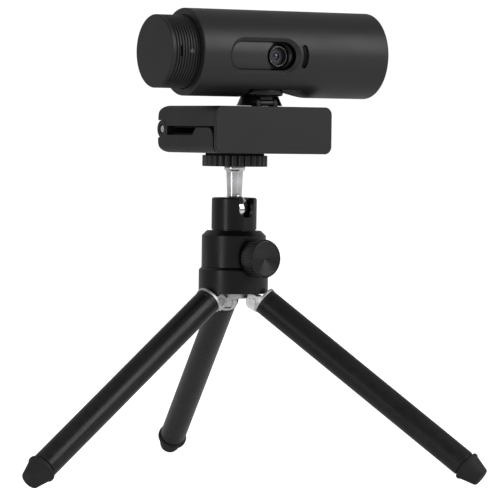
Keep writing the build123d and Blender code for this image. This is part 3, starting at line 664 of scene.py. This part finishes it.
# %% Tube shells
for node, name in (("front_shell", "tube_front"), ("rear_shell", "tube_rear")):
    shell = cad_copy(node, name)
    soften(shell, 0.12, angle=28, segments=2)
    hand_over(shell, node)

# %% [markdown]
# ### The end cap
# The right end is closed by a round cap that sits a little back from the rim. A lathe
# outline gives it a shallow dish and one fine step near its edge.

# %% Right end cap
cap_centre = (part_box("right_end_cap")[0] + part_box("right_end_cap")[1]) / 2
cap_place = frame_at(cap_centre, -LEFT, UP)
cap_low, cap_high = box_in("right_end_cap", cap_place)
cap_r, cap_z = cap_high.x, cap_high.z
cap_outline = [
    (0, cap_low.z),
    (cap_r - 1.5, cap_low.z),
    (cap_r - 1.5, cap_z - 1.5),
    (cap_r, cap_z - 1.5),
    (cap_r, cap_z - 0.4),
    (cap_r - 0.4, cap_z),
    (cap_r - 1.6, cap_z),
    (cap_r - 1.75, cap_z - 0.15),
    (cap_r - 2.0, cap_z - 0.15),
    (cap_r - 5.0, cap_z - 0.3),
    (0, cap_z - 0.45),
]
cap = lathe("tube_end_cap", cap_outline, steps=120)
settle(cap, cap_place)
soften(cap, 0.1)
hand_over(cap, "right_end_cap")

# %% [markdown]
# ## The privacy knob
# The whole left end of the tube is a drum that is pushed in to slide the shutter over
# the lens. Round ridges give grip, and a slit on the front shows where the drum is
# held. The outline is spun, its ridges are rounded with a bevel, and the slit is cut
# out with a boolean, as an end mill would cut it.

# %% Privacy knob
knob_low, knob_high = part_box("privacy_knob")
knob_axis = Vector((knob_high.x, (knob_low.y + knob_high.y) / 2, (knob_low.z + knob_high.z) / 2))
knob_place = frame_at(knob_axis, LEFT, UP)
KNOB_R = (knob_high.z - knob_low.z) / 2 / MM
KNOB_LONG = (knob_high.x - knob_low.x) / MM
KNOB_OUT = 13.5
KNOB_BAND = 2.0
KNOB_WALL = 1.6
RIDGES = 9
RIDGE_DEPTH = 0.55
pitch = (KNOB_OUT - KNOB_BAND) / RIDGES
knob_outline = [
    (0, KNOB_LONG - KNOB_WALL),
    (KNOB_R - KNOB_WALL, KNOB_LONG - KNOB_WALL),
    (KNOB_R - KNOB_WALL, 0),
    (KNOB_R, 0),
]
for i in reversed(range(RIDGES)):
    edge = KNOB_LONG - KNOB_BAND - pitch * i
    knob_outline += [
        (KNOB_R, edge - 0.50),
        (KNOB_R - RIDGE_DEPTH, edge - 0.36),
        (KNOB_R - RIDGE_DEPTH, edge - 0.14),
        (KNOB_R, edge),
    ]
knob_outline += [(KNOB_R, KNOB_LONG - 0.4), (KNOB_R - 0.4, KNOB_LONG), (0, KNOB_LONG)]
knob = lathe("privacy_drum", knob_outline, steps=144)
apply_modifier(
    knob, "BEVEL", width=0.16 * MM, segments=2, limit_method="ANGLE", angle_limit=math.radians(25)
)
settle(knob, knob_place)
SLIT = (1.0, 4.6)
SLIT_FROM_FACE = 4.5
slit_at = Vector((knob_low.x + SLIT_FROM_FACE * MM, knob_axis.y - KNOB_R * MM, knob_axis.z))
slit_place = frame_at(slit_at, FRONT, UP)
cut(knob, box_cutter((SLIT[0], SLIT[1], 6.0), slit_place, corner=0.3))
soften(knob, 0)
hand_over(knob, "privacy_knob")

# %% [markdown]
# The slit shows a dark inside: a near-black plate set in the hollow drum under it paints that shade.
# Beside the slit a small diamond marks the drum. The mark is a pad with bevelled edges that lies on the ridges.

# %% Painted-shade plate in the slit, and mark
MARK_FROM_FACE = 9.4
bpy.ops.object.select_all(action="DESELECT")
bpy.ops.mesh.primitive_cylinder_add(vertices=4, radius=1.25 * MM, depth=0.6 * MM)
mark = bpy.context.object
mark.name = "drum_mark"
edit(mark, "FACE")
pick(mark, "faces", lambda f: f.normal.z > 0.9)
bpy.ops.mesh.inset(thickness=0.25 * MM, depth=0.1 * MM)
leave_edit()
MARK_SUNK = 0.35
mark_y = knob_axis.y - (KNOB_R - MARK_SUNK) * MM
mark_at = Vector((knob_low.x + MARK_FROM_FACE * MM, mark_y, knob_axis.z))
settle(mark, frame_at(mark_at, FRONT, UP))
soften(mark, 0.05)
hand_over(mark, "privacy_knob", "knob_mark", replaced=False)

# A near-black plate under the slit paints the shade inside the hollow drum; nothing real sits there.
bpy.ops.object.select_all(action="DESELECT")
bpy.ops.mesh.primitive_cylinder_add(vertices=32, radius=1.0 * MM, depth=0.8 * MM)
slit_shade_plate = bpy.context.object
slit_shade_plate.name = "drum_slit_floor"
slit_shade_plate.scale = (1.2, 3.2, 1)
bpy.ops.object.transform_apply(location=False, rotation=False, scale=True)
shade_plate_at = Vector((slit_at.x, knob_axis.y - (KNOB_R - KNOB_WALL - 0.5) * MM, knob_axis.z))
settle(slit_shade_plate, frame_at(shade_plate_at, FRONT, UP))
soften(slit_shade_plate, 0.1)
hand_over(slit_shade_plate, "privacy_knob", "black_trim", replaced=False)

sleeve = cad_copy("shutter_sleeve", "shutter")
soften(sleeve, 0.08)
hand_over(sleeve, "shutter_sleeve", "shutter_plastic")

# %% [markdown]
# ## The lens
# Under the window lies a black well, and in it a thin bright ring, a sunk grey disc
# and the small domed glass of a fixed-focus lens. Each is a turned piece.

# %% Lens pieces
lens_low, lens_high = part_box("lens_barrel")
lens_axis = Vector(((lens_low.x + lens_high.x) / 2, lens_low.y, (lens_low.z + lens_high.z) / 2))
lens_place = frame_at(lens_axis, FRONT, UP)
LENS_R = (lens_high.x - lens_low.x) / 2 / MM
LENS_LONG = (lens_high.y - lens_low.y) / MM
PUPIL_R = (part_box("lens_glass")[1].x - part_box("lens_glass")[0].x) / 2 / MM
RECESS = 2.0
SEAT = -RECESS - 0.3
barrel_outline = [
    (0, -LENS_LONG),
    (LENS_R, -LENS_LONG),
    (LENS_R, -0.45),
    (LENS_R - 0.2, -0.45),
    (LENS_R - 0.2, -0.1),
    (LENS_R - 0.3, 0),
    (LENS_R - 0.62, 0),
    (LENS_R - 0.75, -0.13),
    (LENS_R - 0.75, -0.9),
    (LENS_R - 0.9, -1.0),
    (LENS_R - 0.9, SEAT),
    (0, SEAT),
]
barrel = lathe("lens_tube", barrel_outline)
settle(barrel, lens_place)
soften(barrel, 0.04)
hand_over(barrel, "lens_barrel")

ring_outline = [
    (LENS_R - 0.19, -0.44),
    (LENS_R, -0.44),
    (LENS_R, -0.2),
    (LENS_R - 0.14, -0.03),
    (LENS_R - 0.19, -0.03),
    (LENS_R - 0.19, -0.44),
]
ring = lathe("lens_ring", ring_outline)
settle(ring, lens_place)
soften(ring, 0.02)
hand_over(ring, "lens_barrel", "lens_ring", replaced=False)

disc_outline = [
    (PUPIL_R + 0.03, SEAT),
    (LENS_R - 0.92, SEAT),
    (LENS_R - 0.92, -RECESS),
    (LENS_R - 1.25, -RECESS),
    (LENS_R - 1.3, -RECESS - 0.06),
    (LENS_R - 1.45, -RECESS - 0.06),
    (LENS_R - 1.5, -RECESS),
    (PUPIL_R + 0.2, -RECESS),
    (PUPIL_R + 0.03, -RECESS - 0.12),
    (PUPIL_R + 0.03, SEAT),
]
disc = lathe("lens_baffle", disc_outline)
settle(disc, lens_place)
soften(disc, 0.02)
hand_over(disc, "lens_barrel", "lens_disc", replaced=False)

DOME = 0.45
DOME_STEPS = 8
dome_r = (PUPIL_R**2 + DOME**2) / (2 * DOME)
half_arc = math.asin(PUPIL_R / dome_r)
glass_outline = [(0, -RECESS - 0.9), (PUPIL_R, -RECESS - 0.9)]
for i in range(DOME_STEPS + 1):
    angle = half_arc * (1 - i / DOME_STEPS)
    rise = dome_r * math.cos(angle) - dome_r * math.cos(half_arc)
    glass_outline.append((dome_r * math.sin(angle), -RECESS + rise))
pupil = lathe("lens_front_glass", glass_outline, steps=64)
settle(pupil, lens_place)
soften(pupil, 0)
hand_over(pupil, "lens_glass")

trims = {
    "lens_bezel": ("lens_well", "black_trim"),
    "indicator_window": ("indicator_arc", "indicator"),
}
for node, (name, look) in trims.items():
    trim = cad_copy(node, name)
    soften(trim, 0.06)
    hand_over(trim, node, look)

# %% [markdown]
# ## The neck
# A flat disc under the tube lets the webcam turn, and a black cone under it tilts on a
# small axle that shows bright between its two lugs.

# %% Neck pieces
disc_low, disc_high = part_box("pan_disc")
disc_place = Matrix.Translation(((disc_low.x + disc_high.x) / 2, (disc_low.y + disc_high.y) / 2, 0))
DISC_R = (disc_high.x - disc_low.x) / 2 / MM
DISC_HOLE = 2.95
d0, d1 = disc_low.z / MM, disc_high.z / MM
pan_outline = [
    (DISC_HOLE, d0),
    (DISC_R - 1.4, d0),
    (DISC_R - 0.45, d0 + 0.15),
    (DISC_R - 0.1, d0 + 0.5),
    (DISC_R, d0 + 0.9),
    (DISC_R, d1 - 0.3),
    (DISC_R - 0.3, d1),
    (DISC_HOLE, d1),
    (DISC_HOLE, d0),
]
pan = lathe("neck_disc_ring", pan_outline, steps=120)
settle(pan, disc_place)
soften(pan, 0.15, angle=20)
hand_over(pan, "pan_disc")

turret = cad_copy("neck_turret", "neck_cone")
soften(turret, 0.18)
hand_over(turret, "neck_turret")
axle = cad_copy("tilt_axle", "neck_axle")
soften(axle, 0.15)
hand_over(axle, "tilt_axle", "pin_steel")

# %% [markdown]
# ## The clip
# The clip is two moulded jaws on a steel pin, with a smooth plate across the front.
# The plate overlaps the jaws with rounded corners, so its edge gets the largest
# radius. The jaws are softened copies of the solids.

# %% Clip shells and plate
clip_edges = {
    "clip_front_plate": ("clip_face", 0.35),
    "clip_upper_shell": ("clip_top_jaw", 0.22),
    "clip_lower_shell": ("clip_bottom_jaw", 0.22),
    "clip_upper_pad": ("clip_top_pad", 0.2),
    "clip_lower_pad": ("clip_bottom_pad", 0.2),
}
for node, (name, width) in clip_edges.items():
    piece = cad_copy(node, name)
    soften(piece, width, segments=3)
    hand_over(piece, node)

# %% [markdown]
# The hinge pin is a headed steel rod: its ends are domed and have the small centre
# dimple that a riveting tool leaves.

# %% Hinge pin
pin_low, pin_high = box_in("clip_hinge_pin", pin_place)
PIN_R = pin_high.x
pin_outline = [
    (0, pin_low.z + 0.25),
    (0.5, pin_low.z + 0.2),
    (0.75, pin_low.z),
    (PIN_R - 0.5, pin_low.z + 0.1),
    (PIN_R, pin_low.z + 0.5),
    (PIN_R, pin_high.z - 0.5),
    (PIN_R - 0.5, pin_high.z - 0.1),
    (0.75, pin_high.z),
    (0.5, pin_high.z - 0.2),
    (0, pin_high.z - 0.25),
]
hinge = lathe("clip_pin", pin_outline, steps=48)
settle(hinge, pin_place)
soften(hinge, 0.1, angle=20)
hand_over(hinge, "clip_hinge_pin", "pin_steel")

# %% [markdown]
# ## Thumb wheel and stud
# The wheel locks the clip on the stud. Its rim is a ring of rounded ribs: a many-sided
# cylinder has the points of every rib moved out, and a bevel rounds them. The stud and
# its ball are one turned piece of polished steel.

# %% Thumb wheel
wheel_low, wheel_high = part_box("thumb_wheel")
WHEEL_R = (wheel_high.x - wheel_low.x) / 2 / MM
WHEEL_TALL = (wheel_high.z - wheel_low.z) / MM
RIBS = 28
SIDES_PER_RIB = 8
RIB_DEPTH = 0.95
STUD_HOLE = 3.3
bpy.ops.object.select_all(action="DESELECT")
bpy.ops.mesh.primitive_cylinder_add(
    vertices=RIBS * SIDES_PER_RIB, radius=(WHEEL_R - RIB_DEPTH) * MM, depth=WHEEL_TALL * MM
)
wheel = bpy.context.object
wheel.name = "lock_wheel"
edit(wheel)
lobe = [0.0, 0.62, 0.92, 1.0, 1.0, 1.0, 0.92, 0.62]
turn = FULL_TURN / (RIBS * SIDES_PER_RIB)
for step, share in enumerate(lobe):
    if share == 0.0:
        continue

    def in_step(vertex):
        angle = math.atan2(vertex.co.x, vertex.co.y) % FULL_TURN
        return round(angle / turn) % SIDES_PER_RIB == step

    pick(wheel, "verts", in_step)
    factor = 1 + RIB_DEPTH * share / (WHEEL_R - RIB_DEPTH)
    bpy.ops.transform.resize(value=(factor, factor, 1))
bpy.ops.mesh.select_mode(type="FACE")
pick(wheel, "faces", lambda f: abs(f.normal.z) > 0.9)
bpy.ops.mesh.inset(thickness=0.35 * MM)
leave_edit()
edit(wheel, "EDGE")


def on_rim_corner(edge):
    """Whether an edge lies flat on the rim, between an end face and a rib's side."""
    ends, faces = edge.verts, edge.link_faces
    outside = all(end.co.xy.length > (WHEEL_R - RIB_DEPTH - 0.2) * MM for end in ends)
    flat = abs(ends[0].co.z - ends[1].co.z) < 1e-6
    corner = len(faces) == 2 and abs(faces[0].normal.z - faces[1].normal.z) > 0.5
    return outside and flat and corner


pick(wheel, "edges", on_rim_corner)
bpy.ops.mesh.bevel(offset=0.3 * MM, segments=2, affect="EDGES")
leave_edit()
middle = (wheel_low + wheel_high) / 2
settle(wheel, Matrix.Translation((*tripod_axis, middle.z)))
hole = lathe("hole", [(0, -5), (STUD_HOLE, -5), (STUD_HOLE, 5), (0, 5)], steps=48)
settle(hole, Matrix.Translation((*tripod_axis, middle.z)))
cut(wheel, hole)
soften(wheel, 0)
hand_over(wheel, "thumb_wheel")

# %% Wheel pad
pad_low, pad_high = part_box("wheel_pad")
PAD_R = (pad_high.x - pad_low.x) / 2 / MM
PAD_HOLE = 3.45
p0, p1 = pad_low.z / MM, pad_high.z / MM
pad_outline = [
    (PAD_HOLE, p0),
    (PAD_R - 0.1, p0),
    (PAD_R, p0 + 0.25),
    (PAD_R, p1 - 0.25),
    (PAD_R - 0.15, p1),
    (PAD_HOLE, p1),
    (PAD_HOLE, p0),
]
pad = lathe("lock_wheel_pad", pad_outline, steps=96)
settle(pad, stud_place)
soften(pad, 0.08)
hand_over(pad, "wheel_pad")

# %% Ball and stud
ball_z = joint_at("ball_notch_tilt").z / MM
stud_low, stud_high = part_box("ball_stud")
BALL_R = (stud_high.x - stud_low.x) / 2 / MM
STALK_FOOT_R = 3.1
STALK_TOP_R = 3.5
FLANGE_R = 4.4
THREAD_R = 3.1
flange_z = wheel_low.z / MM - 1.45
stud_top = stud_high.z / MM
meet = math.asin(STALK_FOOT_R / BALL_R)
BALL_STEPS = 32
stud_outline = []
for i in range(BALL_STEPS + 1):
    angle = math.pi - (math.pi - meet) * i / BALL_STEPS
    stud_outline.append((BALL_R * math.sin(angle), ball_z + BALL_R * math.cos(angle)))
stud_outline[0] = (0, ball_z - BALL_R)
stud_outline += [
    (STALK_FOOT_R, ball_z + BALL_R + 0.6),
    (STALK_TOP_R, flange_z - 0.8),
    (STALK_TOP_R + 0.5, flange_z),
    (FLANGE_R, flange_z + 0.2),
    (FLANGE_R, flange_z + 1.4),
    (THREAD_R, flange_z + 1.4),
]
thread_z = flange_z + 2.0
THREAD_PITCH = 1.27
while thread_z + THREAD_PITCH < stud_top - 0.8:
    stud_outline += [(THREAD_R, thread_z), (THREAD_R - 0.45, thread_z + THREAD_PITCH / 2)]
    thread_z += THREAD_PITCH
stud_outline += [(THREAD_R, thread_z), (THREAD_R - 0.7, stud_top), (0, stud_top)]
stud = lathe("ball_and_stud", stud_outline)
settle(stud, stud_place)
soften(stud, 0.12, angle=25)
hand_over(stud, "ball_stud")

# %% [markdown]
# ## The ball head
# A black turned body holds the ball. Its neck has a notch that lets the stud fold
# down to the side, and a knob on that side clamps the ball. The body and its base are
# softened copies of the solids.

# %% Head body and base
head_edges = {
    "head_housing": ("head_body", 0.25),
    "base_collar": ("head_base", 0.25),
    "lock_washer": ("lock_washer_ring", 0.1),
    "hub_bracket": ("leg_hub", 0.3),
    "hub_screw": ("leg_hub_screw", 0.15),
}
for node, (name, width) in head_edges.items():
    piece = cad_copy(node, name)
    soften(piece, width, segments=3)
    hand_over(piece, node)

# %% [markdown]
# The lock knob is turned from bar and knurled with straight ribs. Its face is a shallow
# cone, so each side of it mirrors another part of the room.

# %% Lock knob
knob_from, knob_to = box_in("lock_knob", lock_place)
LOCK_R = knob_to.x
BODY_R = LOCK_R - 0.35
lock_outline = [
    (0, knob_from.z + 0.3),
    (2.5, knob_from.z + 0.3),
    (2.5, knob_from.z),
    (BODY_R - 0.5, knob_from.z),
    (BODY_R, knob_from.z + 0.5),
    (BODY_R, knob_to.z - 0.35),
    (BODY_R - 0.35, knob_to.z),
    (BODY_R - 0.9, knob_to.z),
]
FACE_DISH = 0.9
lock_outline += [
    (BODY_R - 1.05, knob_to.z - 0.15),
    (BODY_R - 1.2, knob_to.z - 0.15),
    (0.4, knob_to.z - FACE_DISH),
    (0, knob_to.z - FACE_DISH),
]
lock_body = lathe("lock_knob_body", lock_outline, steps=120)
soften(lock_body, 0.08, angle=20)

LOCK_RIBS = 48
rib_length = knob_to.z - knob_from.z - 1.7
bpy.ops.object.select_all(action="DESELECT")
bpy.ops.mesh.primitive_cube_add(size=1)
rib = bpy.context.object
rib.scale = (1.0 * MM, 0.55 * MM, rib_length * MM)
rib.location = ((LOCK_R - 0.5) * MM, 0, (knob_from.z + 1.0 + rib_length / 2) * MM)
bpy.ops.object.transform_apply(location=True, rotation=True, scale=True)
apply_modifier(rib, "BEVEL", width=0.18 * MM, segments=2, limit_method="ANGLE")
ribs = []
for i in range(LOCK_RIBS):
    around = Matrix.Rotation(FULL_TURN * i / LOCK_RIBS, 4, "Z")
    ribs.append(copy_to(rib, f"rib_{i}", around))
bpy.data.objects.remove(rib)
lock_knob = join([lock_body, *ribs], "lock_grip")
settle(lock_knob, lock_place)
only(lock_knob)
bpy.ops.object.shade_smooth_by_angle(angle=SMOOTH_BELOW)
hand_over(lock_knob, "lock_knob")

# %% [markdown]
# ## The legs
# The three legs are the same: a die-cast collar that folds on a pin, a black tube and
# a rubber foot. Each is modelled once in a leg's own place, where Z runs down the
# tube, and copied to the three places that the frame gives.

# %% Leg tubes and feet
tube_low, tube_high = box_in("leg_a_tube", leg_place("a"))
foot_high = box_in("leg_a_foot", leg_place("a"))[1]
LEG_R = tube_high.x
RIM_SET_IN = 0.04
FOOT_R = foot_high.x - RIM_SET_IN
top, end, tip = tube_low.z, tube_high.z, foot_high.z
tube_outline = [
    (0, top),
    (LEG_R - 0.3, top),
    (LEG_R, top + 0.3),
    (LEG_R, top + 1.4),
    (LEG_R - 0.12, top + 1.55),
    (LEG_R - 0.12, top + 1.85),
    (LEG_R, top + 2.0),
    (LEG_R, end - 0.5),
    (LEG_R - 0.15, end - 0.15),
    (LEG_R - 0.5, end),
    (0, end),
]
foot_outline = [
    (0, end - 6.0),
    (LEG_R - 1.1, end - 6.0),
    (LEG_R - 0.5, end - 0.4),
    (LEG_R - 0.5, end + 0.5),
    (FOOT_R - 0.35, end + 0.5),
    (FOOT_R, end + 0.9),
    (FOOT_R, end + 1.9),
    (FOOT_R - 0.2, end + 2.2),
    (FOOT_R - 0.5, end + 2.4),
]
TIP_R = 3.85
TIP_ROUND = 1.2
TIP_STEPS = 6
shoulder_r, shoulder_z = FOOT_R - 0.5, end + 2.4
slope = math.atan2(shoulder_r - TIP_R, tip - shoulder_z)
round_centre_r = TIP_R - TIP_ROUND * math.tan((math.pi / 2 - slope) / 2)
for i in range(TIP_STEPS + 1):
    angle = slope + (math.pi / 2 - slope) * i / TIP_STEPS
    foot_outline.append(
        (
            round_centre_r + TIP_ROUND * math.cos(angle),
            tip - TIP_ROUND + TIP_ROUND * math.sin(angle),
        )
    )
foot_outline.append((0, tip))
leg_tube = lathe("leg_tube_pattern", tube_outline)
soften(leg_tube, 0)
leg_foot = lathe("leg_foot_pattern", foot_outline, steps=72)
soften(leg_foot, 0.15, angle=35)
for letter in LEGS:
    tube = copy_to(leg_tube, f"leg_{letter}_barrel", leg_place(letter))
    hand_over(tube, f"leg_{letter}_tube", f"leg_black_{letter}")
    foot = copy_to(leg_foot, f"leg_{letter}_rubber", leg_place(letter))
    hand_over(foot, f"leg_{letter}_foot")
    collar = cad_copy(f"leg_{letter}_collar", f"leg_{letter}_cap")
    soften(collar, 0.2)
    hand_over(collar, f"leg_{letter}_collar")
    pin = cad_copy(f"leg_{letter}_pin", f"leg_{letter}_rivet")
    soften(pin, 0.1)
    hand_over(pin, f"leg_{letter}_pin")
bpy.data.objects.remove(leg_tube)
bpy.data.objects.remove(leg_foot)

# %% [markdown]
# ## Small things at the back
# The rear shell is held by four cross-head screws, and the cable's socket is a steel
# shell with a tongue in it. One screw head is modelled and copied.

# %% Rear screws and socket
screw_low, screw_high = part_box("shell_screws")
HEAD_R = 1.9
HEAD_TALL = 1.3
CROSS = (1.9, 0.45, 1.4)
head_outline = [
    (0, -HEAD_TALL),
    (HEAD_R - 0.2, -HEAD_TALL),
    (HEAD_R, -HEAD_TALL + 0.3),
    (HEAD_R - 0.15, -0.45),
    (HEAD_R - 0.8, -0.1),
    (0, 0),
]
screw = lathe("screw_pattern", head_outline, steps=40)
for quarter in range(2):
    slot_turn = Matrix.Rotation(math.pi / 2 * quarter, 4, "Z")
    cut(screw, box_cutter(CROSS, slot_turn))
soften(screw, 0.05)
screws = []
for x in (screw_low.x + HEAD_R * MM, screw_high.x - HEAD_R * MM):
    for z in (screw_low.z + HEAD_R * MM, screw_high.z - HEAD_R * MM):
        spot = frame_at(Vector((x, screw_high.y, z)), -FRONT, UP)
        screws.append(copy_to(screw, f"screw_{len(screws)}", spot))
bpy.data.objects.remove(screw)
rear_screws = join(screws, "rear_screws")
hand_over(rear_screws, "shell_screws")

socket = cad_copy("usb_socket", "cable_socket")
soften(socket, 0.08)
hand_over(socket, "usb_socket")

# %% [markdown]
# ## What is left
# The pieces inside the housing and the head keep their CAD shapes: nothing outside
# shows them. They get the same finishes as the rest.

# %% Carry the other CAD solids over
shown = [name for name, node in nodes.items() if not node.hide_render]
for name in shown:
    nodes[name].data.materials.clear()
    nodes[name].data.materials.append(finishes[slot_of_node[name]])
print("CAD solids that stay:", sorted(shown))


# %% [markdown]
# ## Camera
# A long lens from far away keeps the perspective as weak as a product shot's. The
# camera stands to the left of the front, a little above the middle of the object,
# and looks slightly down.

# %% Make the camera
VIEW_YAW = math.radians(31.2)
CAMERA_DISTANCE = 1.524
CAMERA_HEIGHT = 0.1418
LOOK_DOWN = math.radians(1.78)
ROLL = math.radians(0.75)
SIDE_STEP = 0.00686
LENS = 261.7
SENSOR = 36.0
CLIP_END = 20

bpy.ops.object.camera_add()
camera = bpy.context.object
camera.name = "camera"
right = Vector((math.cos(VIEW_YAW), -math.sin(VIEW_YAW), 0))
ahead = Vector((math.sin(VIEW_YAW), math.cos(VIEW_YAW), 0))
camera.location = tripod_axis.to_3d() - ahead * CAMERA_DISTANCE + right * SIDE_STEP
camera.location.z = CAMERA_HEIGHT
camera.rotation_mode = "QUATERNION"
look = Matrix.Rotation(-VIEW_YAW, 3, "Z") @ Matrix.Rotation(math.pi / 2 - LOOK_DOWN, 3, "X")
camera.rotation_quaternion = (look @ Matrix.Rotation(ROLL, 3, "Z")).to_quaternion()
camera.data.lens = LENS
camera.data.sensor_width = SENSOR
camera.data.clip_end = CLIP_END
bpy.context.scene.camera = camera

# %% [markdown]
# ## Floor and light
# A dark object on white needs two kinds of light. The floor and the background are
# simply bright to the camera, so that there is no horizon line. What the surfaces
# mirror is another matter: between the soft boxes the room is dim, and that gives
# dark satin plastic its long bands of light and shade.

# %% Floor
bpy.ops.object.select_all(action="DESELECT")
bpy.ops.mesh.primitive_plane_add(size=12, location=(0, 0, 0))
floor = bpy.context.object
floor.name = "floor"
paint = bpy.data.materials.new("floor_paint")
paint.use_nodes = True
tree = paint.node_tree
shader = tree.nodes["Principled BSDF"]
shader.inputs["Base Color"].default_value = (0.82, 0.82, 0.82, 1)
shader.inputs["Roughness"].default_value = 0.7
shader.inputs["Emission Color"].default_value = (1, 1, 1, 1)
seen = add(tree, "ShaderNodeLightPath").outputs["Is Camera Ray"]
FLOOR_GLOW = 1.05
FLOOR_BOUNCE = 0.12
glow = spread(tree, seen, 0.0, 1.0, FLOOR_BOUNCE, FLOOR_GLOW)
tree.links.new(glow, shader.inputs["Emission Strength"])
floor.data.materials.append(paint)

# %% Room
ROOM_LIGHT = 0.30
ROOM_GLOW = 1.05
world = bpy.data.worlds.new("studio")
world.use_nodes = True
tree = world.node_tree
seen = add(tree, "ShaderNodeLightPath").outputs["Is Camera Ray"]
strength = spread(tree, seen, 0.0, 1.0, ROOM_LIGHT, ROOM_GLOW)
tree.nodes["Background"].inputs["Color"].default_value = (1, 1, 1, 1)
tree.links.new(strength, tree.nodes["Background"].inputs["Strength"])
bpy.context.scene.world = world


# %% Soft boxes
def softbox(name, toward, distance, width, height, brightness):
    """A soft box in a direction from the middle of the object, facing it."""
    way = Vector(toward).normalized()
    bpy.ops.object.light_add(type="AREA", location=middle + way * distance)
    light = bpy.context.object
    light.name = name
    light.data.shape = "RECTANGLE"
    light.data.size = width
    light.data.size_y = height
    light.data.energy = brightness * math.pi * width * height
    light.visible_camera = False
    light.rotation_mode = "QUATERNION"
    light.rotation_quaternion = (-way).to_track_quat("-Z", "Y")
    return light


MIDDLE_HEIGHT = 0.12
middle = Vector((*tripod_axis, MIDDLE_HEIGHT))
softbox("key", (0.50, -0.72, 0.44), 1.3, 0.80, 0.80, 2.6)
softbox("left_strip", (-0.97, -0.26, 0.12), 1.2, 0.22, 1.1, 3.8)
softbox("right_wall", (1.0, -0.1, 0.15), 1.9, 2.2, 1.6, 0.2)
softbox("backdrop", (0.0, 1.0, 0.15), 1.8, 3.4, 1.6, 0.10)
bpy.context.scene.view_settings.view_transform = "Standard"
